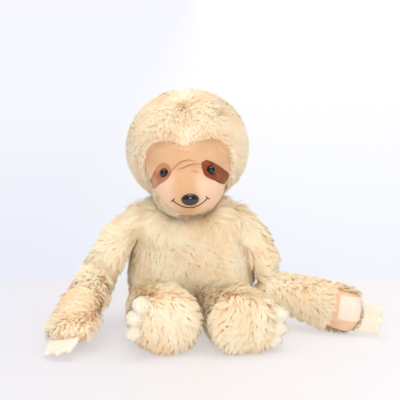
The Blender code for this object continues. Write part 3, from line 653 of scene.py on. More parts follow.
@dataclass(frozen=True)
class SewnForm:
    """How a stuffed cover is cut from the solids that stand for it."""

    voxel: float = 4 * MM
    inset: float = 4.5 * MM
    swell: float = 1.5 * MM
    smoothing: int = 6

    def make(self, start: bpy.types.Object, free: Free | None = None) -> bpy.types.Object:
        """Closes, draws in, smooths and puffs up a copy of the solids.

        Args:
            start: The copy.
            free: Gives how freely points may be drawn in, 0 where the cover seats on its neighbour.

        Returns:
            The same piece, now the cover.
        """
        finish_with(start, "REMESH", mode="VOXEL", voxel_size=self.voxel)
        keep_largest(start)
        finish_with(start, "SMOOTH", factor=0.5, iterations=self.smoothing)
        points = points_of(start)
        share = np.ones(len(points)) if free is None else free(points)
        drawn = points - normals_of(start) * ((self.inset + self.swell / 2) * share)[:, None]
        drawn[:, 2] = np.maximum(drawn[:, 2], 0.8 * MM)
        move_points(start, drawn)
        finish_with(start, "SMOOTH", factor=0.5, iterations=2)
        puff(start, self.swell)
        finish_with(start, "SUBSURF", levels=1, render_levels=1)
        return start


@dataclass(frozen=True)
class Fibres:
    """A pile's fibres: roots, the cloth's normals there, lengths, locks and each lock's leading fibre."""

    roots: np.ndarray
    facing: np.ndarray
    length: np.ndarray
    lock: np.ndarray
    leaders: np.ndarray


@dataclass(frozen=True)
class Pile:
    """Long-pile plush: locks of fibre that lean one way, each lock drawn to a point."""

    stand: float = 7.2 * MM
    reach: float = 10.5 * MM
    width: float = 0.72 * MM
    per_square_cm: float = 112
    lock: float = 2.8 * MM
    pull: float = 0.45
    gathered: float = 0.12
    swirl: float = 0.34
    stray: float = 0.15
    wander: float = 0.6
    wander_waves: tuple[float, ...] = (45, 70, 100, 150)
    uneven: float = 0.12
    curl: float = 0.12
    softness: float = 0.84
    bend: float = 0.3
    rooted: float = 1 * MM
    lowest: Band = (0.3 * MM, 0.8 * MM)
    shortest: float = 0.02
    stations: tuple[float, ...] = (0.0, 0.34, 0.70, 1.0)
    tapers: tuple[float, ...] = (1.0, 0.9, 0.62)
    tone: float = 0.55
    tone_drift: float = 0.22
    tone_of_locks: float = 0.13
    tone_of_fibres: float = 0.09
    tone_waves: tuple[float, ...] = (60, 90, 140, 230, 340)
    seed: int = 1

    def scatter(self, cloth: bpy.types.Object, rng: np.random.Generator) -> tuple[np.ndarray, np.ndarray]:
        """Picks the fibres' roots at random over a cloth.

        Args:
            cloth: The cloth.
            rng: The random numbers.

        Returns:
            The roots and the cloth's normals at them.
        """
        mesh = cloth.data
        mesh.calc_loop_triangles()
        corners = np.empty(len(mesh.loop_triangles) * 3, int)
        mesh.loop_triangles.foreach_get("vertices", corners)
        corners = corners.reshape(-1, 3)
        points, normals = points_of(cloth), normals_of(cloth)
        a, b, c = (points[corners[:, i]] for i in range(3))
        area = np.linalg.norm(np.cross(b - a, c - a), axis=1) / 2
        count = int(area.sum() * 1e4 * self.per_square_cm)
        pick = rng.choice(len(area), count, p=area / area.sum())
        u, v = rng.random((2, count, 1))
        over = (u + v) > 1
        u, v = np.where(over, 1 - u, u), np.where(over, 1 - v, v)
        weights = (1 - u - v, u, v)
        roots = sum(weights[i] * points[corners[pick, i]] for i in range(3))
        facing = unit(sum(weights[i] * normals[corners[pick, i]] for i in range(3)))
        return roots, facing

    def grow(
        self, cloth: bpy.types.Object, name: str, comb: Comb, keep: Mask, material: bpy.types.Material
    ) -> list[bpy.types.Object]:
        """Grows the pile on a cloth.

        Args:
            cloth: The cloth.
            name: The first part of the new pieces' names.
            comb: Gives the way that the pile leans, from roots and normals.
            keep: Gives how much of its length each fibre keeps, 0 for none.
            material: The fibres' material.

        Returns:
            The pieces, each with at most FIBRES_TO_A_PIECE fibres. The pieces, each
            small enough for its own file.
        """
        rng = np.random.default_rng(self.seed)
        roots, facing = self.scatter(cloth, rng)
        length = keep(roots, facing)
        kept = length > self.shortest
        fibres = self.gather(roots[kept], facing[kept], length[kept][:, None], rng)
        lean = self.lay(fibres, comb(fibres.roots, fibres.facing), rng)
        line = self.trace(fibres, lean, rng)
        tone = self.shades(fibres, rng)
        twist = rng.normal(0, self.bend, len(tone))[:, None]
        pieces = []
        for start in range(0, len(tone), FIBRES_TO_A_PIECE):
            part = slice(start, start + FIBRES_TO_A_PIECE)
            paths = [path[part] for path in line]
            mesh = self.ribbons(name, paths, fibres.facing[part], twist[part], tone[part])
            self.soften(mesh, fibres.facing[part])
            piece = new_piece(f"{name}_{len(pieces) + 1}", mesh)
            piece.visible_shadow = False
            mesh.materials.append(material)
            pieces.append(piece)
        return pieces

    def gather(
        self, roots: np.ndarray, facing: np.ndarray, length: np.ndarray, rng: np.random.Generator
    ) -> Fibres:
        """Gathers fibres into locks, each round a leader picked at random.

        Args:
            roots: The fibres' roots.
            facing: The cloth's normals there.
            length: The fibres' lengths, as shares of the full one.
            rng: The random numbers.

        Returns:
            The fibres and their locks.
        """
        count = len(roots)
        lock_area = self.lock * self.lock * 1e4
        locks = max(8, int(count / (self.per_square_cm * lock_area)))
        leaders = rng.choice(count, locks, replace=False)
        tree = KDTree(locks)
        for i, leader in enumerate(leaders):
            tree.insert(roots[leader], i)
        tree.balance()
        lock = np.array([tree.find(root)[1] for root in roots])
        return Fibres(roots, facing, length, lock, leaders)

    def lay(self, fibres: Fibres, lean: np.ndarray, rng: np.random.Generator) -> np.ndarray:
        """Lays the fibres along the comb's lean, each lock turned a little its own way.

        On cloth that faces neither front nor back they lean sideways, so that their bright tops show.

        Args:
            fibres: The fibres.
            lean: The comb's lean.
            rng: The random numbers.

        Returns:
            The way that each fibre leans, along the cloth.
        """
        facing = fibres.facing
        sideways = 1 - 0.9 * ease(0.9 - np.abs(facing[:, 1]), 0, 0.4)
        lean = np.stack([lean[:, 0], lean[:, 1] * sideways, lean[:, 2]], axis=1)
        lean = unit(lean - facing * np.sum(lean * facing, axis=1, keepdims=True))
        turn = rng.normal(0, self.swirl, len(fibres.leaders))[fibres.lock]
        turn = turn + rng.normal(0, self.stray, len(lean))
        turn = turn + self.drift(fibres.roots, self.wander_waves, series=200) * self.wander
        return lean * np.cos(turn)[:, None] + np.cross(facing, lean) * np.sin(turn)[:, None]

    def trace(self, fibres: Fibres, lean: np.ndarray, rng: np.random.Generator) -> list[np.ndarray]:
        """Traces the fibres: each rises, leans over, and is drawn to its lock's leader.

        Args:
            fibres: The fibres.
            lean: The way that each leans.
            rng: The random numbers.

        Returns:
            The four points along every fibre.
        """
        roots, facing, length, lock = fibres.roots, fibres.facing, fibres.length, fibres.lock
        count = len(roots)
        lock_stand = rng.normal(1, self.uneven, len(fibres.leaders)).clip(0.45, 1.5)
        lock_reach = rng.normal(1, self.uneven, len(fibres.leaders)).clip(0.45, 1.6)
        stand = self.stand * np.minimum(length, 1) * (lock_stand[lock] * rng.normal(1, 0.1, count))[:, None]
        reach = self.reach * length * (lock_reach[lock] * rng.normal(1, 0.12, count))[:, None]
        curl = rng.normal(0, self.curl, (count, 1)) * reach
        first = fibres.leaders[lock]
        line = []
        for along in self.stations:
            rise = stand * math.sin(along * math.pi / 2 * 0.95)
            path = roots - facing * self.rooted + facing * rise + lean * (reach * along**1.5)
            path = path + np.cross(facing, lean) * curl * along * along
            meet = path[first] + (roots - roots[first]) * self.gathered
            pull = self.pull * along * along * (3 - 2 * along)
            line.append(path + (meet - path) * pull)
        low = self.lowest[0] + rng.random(count) * self.lowest[1]
        for path in line:
            path[:, 2] = np.maximum(path[:, 2], low)
        return line

    def shades(self, fibres: Fibres, rng: np.random.Generator) -> np.ndarray:
        """Gives each fibre's shade from 0 to 1, darker where the pile is short.

        Args:
            fibres: The fibres.
            rng: The random numbers.

        Returns:
            The shades.
        """
        broad = self.drift(fibres.roots, self.tone_waves, series=100)
        tone = self.tone + self.tone_drift * broad
        tone = tone + rng.normal(0, self.tone_of_locks, len(fibres.leaders))[fibres.lock]
        tone = tone + rng.normal(0, self.tone_of_fibres, len(broad))
        return (tone * (0.55 + 0.45 * np.minimum(fibres.length[:, 0], 1))).clip(0.03, 0.97)

    def soften(self, mesh: bpy.types.Mesh, facing: np.ndarray) -> None:
        """Bends the fibres' shading normals towards the cloth's, as light passes through a thin pile.

        Args:
            mesh: The fibres' mesh.
            facing: The cloth's normals at the roots.
        """
        flat = np.empty(len(mesh.vertices) * 3)
        mesh.vertices.foreach_get("normal", flat)
        own = flat.reshape(-1, 3)
        cloth = np.repeat(facing, FIBRE_POINTS, axis=0)
        own = np.where(np.sum(own * cloth, axis=1, keepdims=True) < 0, -own, own)
        blend = unit(own * (1 - self.softness) + cloth * self.softness)
        mesh.normals_split_custom_set_from_vertices(blend.tolist())

    def drift(self, roots: np.ndarray, waves: Sequence[float], series: int) -> np.ndarray:
        """Gives a slow drift over the pile, about from -1 to 1.

        Args:
            roots: The fibres' roots.
            waves: The waves' turns to a metre.
            series: Which of the pile's random series to use.

        Returns:
            The drift at every root.
        """
        rng = np.random.default_rng(self.seed + series)
        total = np.zeros(len(roots))
        for wave in waves:
            for _ in range(2):
                way = unit(rng.normal(0, 1, (1, 3)))[0]
                total += np.sin(roots @ way * wave + rng.random() * math.tau)
        return total / (len(waves) * 2) ** 0.5 / 1.1

    def ribbons(
        self, name: str, line: list[np.ndarray], facing: np.ndarray, twist: np.ndarray, tone: np.ndarray
    ) -> bpy.types.Mesh:
        """Makes the fibres' mesh: for each, two tapering faces and a tip.

        Args:
            name: The mesh's name.
            line: The four points along every fibre.
            facing: The cloth's normals at the roots.
            twist: Each ribbon's turn about its own length.
            tone: Each fibre's shade, from 0 to 1.

        Returns:
            The mesh, with the map that its colour is read from.
        """
        count = len(tone)
        rows = []
        for i, share in enumerate(self.tapers):
            along = unit(line[i + 1] - line[max(i - 1, 0)])
            across = unit(np.cross(along, facing) + 1e-9)
            over = np.cross(across, along)
            across = across * np.cos(twist) + over * np.sin(twist)
            half = across * (self.width * share / 2)
            rows += [line[i] + half, line[i] - half]
        rows.append(line[3])
        points = np.stack(rows, axis=1).reshape(-1, 3)
        order = np.array([0, 2, 3, 1, 2, 4, 5, 3, 4, 6, 5])
        loops = (np.arange(count)[:, None] * FIBRE_POINTS + order).ravel()
        starts = (np.arange(count)[:, None] * len(order) + np.array([0, 4, 8])).ravel()
        mesh = bpy.data.meshes.new(name)
        mesh.vertices.add(len(points))
        mesh.loops.add(len(loops))
        mesh.polygons.add(len(starts))
        mesh.vertices.foreach_set("co", points.ravel())
        mesh.loops.foreach_set("vertex_index", loops)
        mesh.polygons.foreach_set("loop_start", starts)
        mesh.polygons.foreach_set("use_smooth", np.ones(len(starts), bool))
        mesh.update(calc_edges=True)
        spread = np.array([0.02, -0.02, 0.02, -0.02, 0.02, -0.02, 0.0])
        height = np.array([0.02, 0.02, 0.34, 0.34, 0.68, 0.68, 0.98])
        u = (tone[:, None] + spread)[:, order]
        v = np.broadcast_to(height, (count, FIBRE_POINTS))[:, order]
        chart = mesh.uv_layers.new(name="OFBake")
        chart.data.foreach_set("uv", np.stack([u, v], axis=2).ravel())
        return mesh


def ease(values: np.ndarray, low: float, high: float) -> np.ndarray:
    """Turns values into shares that rise smoothly from 0 at one value to 1 at another."""
    share = np.clip((values - low) / (high - low), 0, 1)
    return share * share * (3 - 2 * share)


def joint_place(name: str) -> Vector:
    """Gives a joint's place at rest."""
    return Vector(next(joint["pos_m"] for joint in frame["joints"] if joint["name"] == name))


def joint_axis(name: str) -> Vector:
    """Gives a joint's axis at rest."""
    return Vector(next(joint["axis"] for joint in frame["joints"] if joint["name"] == name))


class Wardrobe:
    """Every finish, made once."""

    def __init__(self) -> None:
        """Makes the materials."""
        self.pile = PileFinish().material()
        self.backing = BackingFinish().material()
        # The claws' nap: pale, with roots a touch darker as painted shade deep in the nap.
        self.nap = PileFinish(
            "pale nap",
            root_shade_dark=shade(250, 236, 208),
            root_shade_light=shade(255, 246, 224),
            tip_warm=shade(255, 246, 226),
            tip_pale=shade(255, 252, 240),
        ).material()
        self.claw = VelourFinish(
            "cream velour", shade(250, 238, 214), shade(255, 248, 232), nap=1300
        ).material()
        # One brown velour in two copies: the right patch's colours are painted paler, as painted light caught
        # by its nap; the left patch keeps the darker brown.
        self.patch_left = VelourFinish(
            "brown velour", shade(126, 60, 32), shade(164, 92, 56), broad=110, sheen=0.1
        ).material()
        self.patch_right_painted_lit = VelourFinish(
            "brown velour, painted paler as lit", shade(170, 104, 66), shade(216, 154, 112), broad=80, sheen=0.25
        ).material()
        self.palm = VelourFinish(
            "peach velour", shade(240, 198, 164), shade(250, 216, 186), sheen=0.15
        ).material()
        self.eye = GlossFinish("black eye plastic").material()
        self.nose = GlossFinish(
            "black nose plastic", shade(34, 27, 32), polished=0.12, handled=0.22
        ).material()
        self.thread = ThreadFinish().material()
        self.washer = PlainFinish(
            "white plastic", shade(225, 225, 222), shade(240, 240, 238), roughness=0.4, grain=300
        ).material()


@dataclass
class Trunk:
    """The body: one stuffed sack that narrows to the neck, with its pile."""

    wardrobe: Wardrobe
    form: SewnForm = SewnForm(voxel=5 * MM, inset=3.6 * MM, swell=1.5 * MM, smoothing=4)
    pile: Pile = Pile(seed=11)
    ruff: float = 0.9
    ruff_rise: Band = (116 * MM, 146 * MM)
    shoulder_fill: float = 3.6
    shoulder_rise: Band = (112 * MM, 138 * MM)
    shoulder_out: Band = (16 * MM, 34 * MM)
    flank_fill: float = 2.2
    flank_rise: Band = (40 * MM, 60 * MM)
    flank_out: Band = (30 * MM, 48 * MM)
    arm_seat: Band = (20 * MM, 32 * MM)
    hip_seat: Band = (31 * MM, 40 * MM)
    neck_seat: Band = (28 * MM, 50 * MM)
    seat_patch: float = 21 * MM
    pressed: float = 8 * MM

    def comb(self, roots: np.ndarray, facing: np.ndarray) -> np.ndarray:
        """Leans the pile away from the neck and down."""
        away = unit(roots - np.array(joint_place("neck_turn")) + 1e-6)
        away[:, 2] *= 0.4
        return away + np.array([0, 0, -0.6])

    def keep(self, roots: np.ndarray, facing: np.ndarray) -> np.ndarray:
        """Leaves out what the arms and legs cover, keeps the seat short and the ruff long."""
        length = np.ones(len(roots))
        for side in Side:
            seam = np.array(joint_place(f"shoulder_{side.value}"))
            normal = np.array(joint_axis(f"shoulder_{side.value}"))
            on_seam = (facing @ normal > 0.9) & (np.linalg.norm(roots - seam, axis=1) < self.seat_patch)
            length[on_seam] = 0
            hip = np.array(joint_place(f"hip_{side.value}"))
            length[np.linalg.norm(roots - hip, axis=1) < self.hip_seat[0]] = 0
        under = (facing[:, 2] < -0.7) & (roots[:, 2] < self.pressed)
        length[under] = 0.45
        return length * (1 + self.ruff * ease(roots[:, 2], *self.ruff_rise))

    def free(self, points: np.ndarray) -> np.ndarray:
        """Fills the shoulders and the left flank, and keeps the seats of arms, legs and neck in place."""
        shoulder = ease(points[:, 2], *self.shoulder_rise) * ease(np.abs(points[:, 0]), *self.shoulder_out)
        flank = ease(points[:, 0], *self.flank_out) * ease(points[:, 2], *self.flank_rise)
        share = 1 - self.shoulder_fill * shoulder - self.flank_fill * flank * (1 - shoulder)
        seats = [(f"shoulder_{side.value}", self.arm_seat) for side in Side]
        seats += [(f"hip_{side.value}", self.hip_seat) for side in Side]
        seats.append(("neck_turn", self.neck_seat))
        for joint, seat in seats:
            away = np.linalg.norm(points - np.array(joint_place(joint)), axis=1)
            share = np.minimum(share, ease(away, *seat))
        return share

    def build(self) -> list[bpy.types.Object]:
        """Makes the body's cover and its pile."""
        cover = self.form.make(copy_of(["body_cover", "body_stuffing"], "body_plush"), self.free)
        set_material(cover, self.wardrobe.backing)
        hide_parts("body_cover", "body_stuffing")
        pieces = [cover, *self.pile.grow(cover, "body_pile", self.comb, self.keep, self.wardrobe.pile)]
        for piece in pieces:
            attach(piece, "body")
        return pieces


@dataclass
class Neck:
    """The gathered plush tube that the head is sewn to."""

    wardrobe: Wardrobe
    form: SewnForm = SewnForm(voxel=3 * MM, inset=-7 * MM, swell=1 * MM)
    pile: Pile = Pile(seed=17, stand=9 * MM, reach=18 * MM, per_square_cm=130)

    def comb(self, roots: np.ndarray, facing: np.ndarray) -> np.ndarray:
        """Leans the pile down and outwards, over the shoulders."""
        return np.array([[0.0, 0.0, -1.0]]) + (roots - np.array(joint_place("neck_turn"))) * 30

    def keep(self, roots: np.ndarray, facing: np.ndarray) -> np.ndarray:
        """Leaves out the tube's two ends."""
        return (np.abs(facing[:, 2]) < 0.75).astype(float)

    def build(self) -> list[bpy.types.Object]:
        """Makes the neck's cover and its pile."""
        cover = self.form.make(copy_of(["neck_cover", "neck_stuffing"], "neck_plush"))
        set_material(cover, self.wardrobe.backing)
        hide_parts("neck_cover", "neck_stuffing")
        pieces = [cover, *self.pile.grow(cover, "neck_pile", self.comb, self.keep, self.wardrobe.pile)]
        for piece in pieces:
            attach(piece, "neck")
        return pieces


@dataclass(frozen=True)
class HeadShape:
    """The head's skin under the hood: skull, bridge and muzzle run together, as in the solids."""

    centre: Vector = Vector((0, -6 * MM, 235.5 * MM))
    roll: float = math.radians(3.5)
    skull: tuple = ((0, 0, 0), (69 * MM, 61 * MM, 66 * MM))
    bridge: tuple = ((0, -30 * MM, -20 * MM), (52 * MM, 55 * MM, 42 * MM))
    muzzle: tuple = ((0, -54 * MM, -43 * MM), (44 * MM, 50 * MM, 34 * MM))
    blend: float = 16 * MM
    half_width: float = 56 * MM
    top: float = 21 * MM
    bottom: float = 81 * MM
    top_shares: tuple = (
        (0.00, 0.42),
        (0.22, 0.76),
        (0.40, 0.97),
        (0.60, 1.00),
        (0.78, 0.80),
        (0.92, 0.35),
        (1.00, -0.35),
    )
    cheek_shares: tuple = (
        (0.99, 0.26),
        (0.95, 0.48),
        (0.84, 0.67),
        (0.66, 0.82),
        (0.44, 0.93),
        (0.20, 0.99),
        (0.00, 1.00),
    )

    @property
    def place(self) -> Matrix:
        """Gives the head's own frame in the toy's."""
        return Matrix.Translation(self.centre) @ Matrix.Rotation(-self.roll, 4, "Y")

    def inside(self, rows: np.ndarray) -> np.ndarray:
        """Turns the toy's points into the head's own frame."""
        back = np.array(self.place.inverted())
        return rows @ back[:3, :3].T + back[:3, 3]

    def outside(self, rows: np.ndarray) -> np.ndarray:
        """Turns points in the head's own frame into the toy's."""
        onward = np.array(self.place)
        return rows @ onward[:3, :3].T + onward[:3, 3]

    @staticmethod
    def ray_out(ways: np.ndarray, centre: Sequence[float], halves: Sequence[float]) -> np.ndarray:
        """Gives how far rays from the head's centre go before they leave an ellipsoid.

        Args:
            ways: The rays' directions.
            centre: The ellipsoid's centre.
            halves: Its half sizes.

        Returns:
            The distances, 0 where a ray misses.
        """
        d = ways / np.array(halves)
        c = np.array(centre) / np.array(halves)
        a = np.sum(d * d, axis=1)
        b = d @ c
        root = b * b - a * (c @ c - 1)
        out = (b + np.sqrt(np.maximum(root, 0))) / a
        return np.where(root > 0, np.maximum(out, 0), 0)

    def reach(self, ways: np.ndarray) -> np.ndarray:
        """Gives the skin's distance from the head's centre in each direction."""
        out = self.ray_out(ways, *self.skull)
        for lobe in (self.bridge, self.muzzle):
            on_lobe = self.ray_out(ways, *lobe)
            overlap = np.maximum(self.blend - np.abs(out - on_lobe), 0) / self.blend
            out = np.maximum(out, on_lobe) + overlap * overlap * self.blend / 4
        return out

    def opening(self) -> np.ndarray:
        """Gives the face opening's outline in the front view: a heart top over a rounded chin."""
        half = [(across, up * self.top) for across, up in self.top_shares]
        half += [(across, -down * self.bottom) for across, down in self.cheek_shares]
        cheek = [(across * self.half_width, z) for across, z in half]
        other = [(-x, z) for x, z in reversed(cheek[1:-1])]
        return np.array(cheek + other)


def edge_distance(outline: np.ndarray, spots: np.ndarray) -> np.ndarray:
    """Gives how far spots lie inside a closed outline, negative where they are outside.

    Args:
        outline: The outline's corners.
        spots: The spots.

    Returns:
        The distances.
    """
    best = np.full(len(spots), np.inf)
    inside = np.zeros(len(spots), bool)
    for a, b in zip(outline, np.roll(outline, -1, axis=0)):
        side = b - a
        along = np.clip(((spots - a) @ side) / max(side @ side, 1e-12), 0, 1)[:, None]
        best = np.minimum(best, np.linalg.norm(spots - (a + along * side), axis=1))
        crosses = (a[1] > spots[:, 1]) != (b[1] > spots[:, 1])
        rise = b[1] - a[1] if abs(b[1] - a[1]) > 1e-12 else 1e-12
        inside ^= crosses & (spots[:, 0] < a[0] + (spots[:, 1] - a[1]) / rise * (b[0] - a[0]))
    return np.where(inside, best, -best)


def round_outline(corners: np.ndarray, steps: int) -> np.ndarray:
    """Rounds a closed outline with a smooth curve through its corners.

    Args:
        corners: The corners.
        steps: Points to each side.

    Returns:
        The rounded outline.
    """
    rows = []
    count = len(corners)
    for i in range(count):
        p0, p1, p2, p3 = (corners[(i + k) % count] for k in (-1, 0, 1, 2))
        for step in range(steps):
            t = step / steps
            rows.append(
                0.5
                * (
                    2 * p1
                    + (p2 - p0) * t
                    + (2 * p0 - 5 * p1 + 4 * p2 - p3) * t * t
                    + (3 * p1 - p0 - 3 * p2 + p3) * t**3
                )
            )
    return np.array(rows)


@dataclass(frozen=True)
class Applique:
    """A flat patch of cloth that is sewn down on a stuffed form, its edge turned under."""

    thickness: float = 0.8 * MM
    sunk: float = 0.3 * MM
    rings: tuple[float, ...] = (1.0, 1.0, 0.985, 0.96, 0.92, 0.85, 0.72, 0.55, 0.36, 0.18)
    rises: tuple[float, ...] = (-1.0, 0.1, 0.62, 0.85, 0.96, 1.0, 1.0, 1.0, 1.0, 1.0)

    def make(
        self,
        name: str,
        outline: np.ndarray,
        lift: Callable[[np.ndarray], tuple[np.ndarray, np.ndarray]],
    ) -> bpy.types.Object:
        """Makes the patch from its outline.

        Args:
            name: The piece's name.
            outline: The outline's flat corners.
            lift: Gives the form's points and normals under flat spots.

        Returns:
            The patch, closed underneath.
        """
        middle = outline.mean(axis=0)
        rows, tops = [], []
        for share, rise in zip(self.rings, self.rises):
            spots = middle + (outline - middle) * share
            points, normals = lift(spots)
            height = -self.sunk if rise < 0 else self.thickness * rise
            rows.append(points + normals * height)
            tops.append(len(rows) - 1)
        point, normal = lift(middle[None, :])
        centre_top = point + normal * self.thickness
        centre_low = point - normal * self.sunk
        points = np.concatenate([*rows, centre_top, centre_low])
        count = len(outline)
        faces = []
        for ring in range(len(rows) - 1):
            for k in range(count):
                a, b = ring * count + k, ring * count + (k + 1) % count
                faces.append((a, b, b + count, a + count))
        last = (len(rows) - 1) * count
        for k in range(count):
            faces.append((last + k, last + (k + 1) % count, len(points) - 2))
            faces.append(((k + 1) % count, k, len(points) - 1))
        mesh = bpy.data.meshes.new(name)
        mesh.from_pydata([tuple(p) for p in points], [], faces)
        piece = new_piece(name, mesh)
        alone(piece)
        bpy.ops.object.mode_set(mode="EDIT")
        bpy.ops.mesh.select_all(action="SELECT")
        bpy.ops.mesh.normals_make_consistent(inside=False)
        bpy.ops.object.mode_set(mode="OBJECT")
        return piece


@dataclass
class Head:
    """The head: a velour face on the stuffed skin, and the plush hood sewn round it."""

    wardrobe: Wardrobe
    shape: HeadShape = HeadShape()
    hood_size: tuple = (154 * MM, 138 * MM, 148 * MM)
    hood_inset: float = 3.4 * MM
    pile: Pile = Pile(
        seed=23,
        stand=7.0 * MM,
        reach=8.0 * MM,
        width=0.63 * MM,
        per_square_cm=158,
        lock=2.2 * MM,
        pull=0.12,
        wander=0.55,
        uneven=0.08,
        softness=0.92,
    )
    rolled: Pile = Pile(seed=29, stand=5.5 * MM, reach=8 * MM, lock=2.4 * MM, wander=0.3, pull=0.25)
    crown: tuple = (0.0, -30 * MM, 60 * MM)
    peak_width: Band = (10 * MM, 30 * MM)
    peak_rise: Band = (-44 * MM, -22 * MM)
    peak_gather: float = 16 * MM
    cheek_rise: Band = (-22 * MM, 4 * MM)
    cheek_middle: float = 15 * MM
    brow_rise: Band = (-10 * MM, 10 * MM)
    brow_trim: Band = (1 * MM, 12 * MM)
    cheek_trim: Band = (0, 8 * MM)
    rim_overlap: float = 1.6 * MM
    rim_tuck: Band = (-0.5 * MM, 3 * MM)
    neck_room: float = 27 * MM
    chin: Band = (8 * MM, 20 * MM)
    roll_top: float = -14 * MM
    roll_lift: float = 1.5 * MM
    under_skin: float = 2 * MM
    eye_spread: float = 28.5 * MM
    eye_drop: float = 19 * MM
    eye_size: float = 12 * MM
    eye_sink: float = -1.2 * MM
    nose_drop: float = 49.5 * MM
    mouth_aside: float = 1.5 * MM
    nose_size: tuple = (22 * MM, 16 * MM, 15 * MM)
    nose_sink: float = 2 * MM
    post: float = 4.4 * MM
    post_length: float = 13 * MM
    left_patch: tuple = (
        (17.6, -9.0),
        (20.6, -6.8),
        (24.9, -5.9),
        (34.5, -11.3),
        (44.2, -20.3),
        (51.0, -29.5),
        (51.0, -35.0),
        (47.0, -40.5),
        (40.5, -37.0),
        (33.2, -31.2),
        (23.6, -25.2),
        (19.4, -19.6),
    )
    right_patch: tuple = (
        (-28.0, -6.1),
        (-24.2, -7.6),
        (-21.4, -11.8),
        (-19.3, -15.3),
        (-21.5, -20.2),
        (-26.4, -25.9),
        (-35.1, -31.5),
        (-42.5, -38.5),
        (-47.5, -43.0),
        (-50.0, -39.5),
        (-49.0, -33.0),
        (-45.5, -25.0),
        (-41.0, -16.6),
        (-35.2, -8.9),
    )
    smile_width: float = 42.5 * MM
    smile_depth: float = 10.5 * MM
    smile_drop: float = 49.5 * MM
    smile_bar: float = 6.5 * MM
    stitch: float = 3.0 * MM
    thread: float = 1.4 * MM
    creases: tuple = (
        ((-20.0, -15.9), (-15.1, -11.1), (-9.9, -7.1), (-4.8, -4.9), (1.4, -4.1), (11.0, -6.0)),
        ((-11.0, -14.5), (-5.0, -12.8), (1.0, -10.4), (8.6, -8.8), (17.5, -10.6)),
        ((5.0, -16.0), (14.0, -19.0)),
    )
    crease_depth: float = 1.9 * MM
    crease_width: float = 0.9 * MM
    crease_shade: float = 0.8 * MM
    face_front: float = -20 * MM
    bridge_middle: tuple = (-1 * MM, -11 * MM)
    bridge_halves: tuple = (24 * MM, 12 * MM)
    roll_shares: tuple = (
        (1.20, -1.00),
        (0.96, 0.20),
        (0.90, 0.45),
        (0.84, 0.63),
        (0.69, 0.77),
        (0.44, 0.86),
        (0.07, 0.92),
        (-0.22, 0.86),
        (-0.34, 0.81),
        (-0.47, 0.74),
        (-0.57, 0.65),
        (-0.74, 0.50),
        (-0.88, 0.36),
        (-0.97, 0.20),
        (-1.20, -1.00),
    )

    def make_face(self) -> bpy.types.Object:
        """Makes the velour skin, stretched over the whole stuffed head and creased at the bridge, with
        painted shade along the creases.
        """
        bpy.ops.object.select_all(action="DESELECT")
        bpy.ops.mesh.primitive_ico_sphere_add(subdivisions=7, radius=1, location=(0, 0, 0))
        face = bpy.context.object
        face.name = face.data.name = "face_velour"
        self.refine_bridge(face)
        ways = unit(points_of(face))
        local = ways * self.shape.reach(ways)[:, None]
        front = local[:, 1] < self.face_front
        painted_shade_share = np.zeros(len(local))
        for away, fade in self.crease_marks(local[:, (0, 2)]):
            groove = np.exp(-((away / self.crease_width) ** 2)) * self.crease_depth
            ridge = np.exp(-(((away - 2.2 * self.crease_width) / (1.5 * self.crease_width)) ** 2))
            local -= ways * ((groove - ridge * self.crease_depth * 0.45) * fade * front)[:, None]
            # Painted shade: how much the colour darkens along each crease.
            shaded = np.exp(-((away / self.crease_shade) ** 2)) * fade * front * 0.5
            painted_shade_share = np.maximum(painted_shade_share, shaded)
        move_points(face, self.shape.outside(local))
        # The painted crease shade goes to the material as a point attribute.
        painted_crease_shade = face.data.attributes.new("painted_crease_shade", "FLOAT", "POINT")
        painted_crease_shade.data.foreach_set("value", painted_shade_share)
        set_material(face, self.face_finish())
        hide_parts("face_panel", "head_stuffing")
        return face

    def crease_marks(self, spots: np.ndarray) -> list[tuple[np.ndarray, np.ndarray]]:
        """Measures flat spots of the front view against every crease.

        Args:
            spots: The spots.

        Returns:
            For each crease, how far off it the spots lie, and how deep it is beside them.
        """
        marks = []
        for line in self.creases:
            corners = np.array(line) * MM
            away = np.full(len(spots), 1.0)
            ends = np.zeros(len(spots))
            for i, (a, b) in enumerate(zip(corners, corners[1:])):
                side = b - a
                along = np.clip(((spots - a) @ side) / (side @ side), 0, 1)
                gap = np.linalg.norm(spots - (a + along[:, None] * side), axis=1)
                nearer = gap < away
                away = np.where(nearer, gap, away)
                ends = np.where(nearer, (i + along) / (len(corners) - 1), ends)
            marks.append((away, np.sin(np.clip(ends, 0.04, 0.96) * math.pi) ** 0.5))
        return marks

    def refine_bridge(self, face: bpy.types.Object) -> None:
        """Cuts the face's mesh finer round the bridge, where the creases run."""
        ways = unit(points_of(face))
        local = ways * self.shape.reach(ways)[:, None]
        off = (local[:, (0, 2)] - np.array(self.bridge_middle)) / self.bridge_halves
        near = (np.linalg.norm(off, axis=1) < 1) & (local[:, 1] < self.face_front)
        alone(face)
        bpy.context.tool_settings.mesh_select_mode = (True, False, False)
        bpy.ops.object.mode_set(mode="EDIT")
        bpy.ops.mesh.select_all(action="DESELECT")
        bpy.ops.object.mode_set(mode="OBJECT")
        face.data.vertices.foreach_set("select", near)
        bpy.ops.object.mode_set(mode="EDIT")
        bpy.ops.mesh.subdivide(number_cuts=2)
        bpy.ops.object.mode_set(mode="OBJECT")

    def face_finish(self) -> bpy.types.Material:
        """Makes the face's velour, its middle on the head's own."""
        finish = FaceVelourFinish(
            "tan face velour",
            shade(223, 177, 136),
            shade(234, 190, 150),
            sheen=0.12,
            middle=tuple(self.shape.centre),
        )
        return finish.material()

    def rim(self, local: np.ndarray) -> np.ndarray:
        """Gives how far inside the face opening points lie, negative on the hood."""
        outline = round_outline(self.shape.opening(), 6)
        inside = edge_distance(outline, local[:, (0, 2)])
        return np.where(local[:, 1] < 0, inside, -1.0)

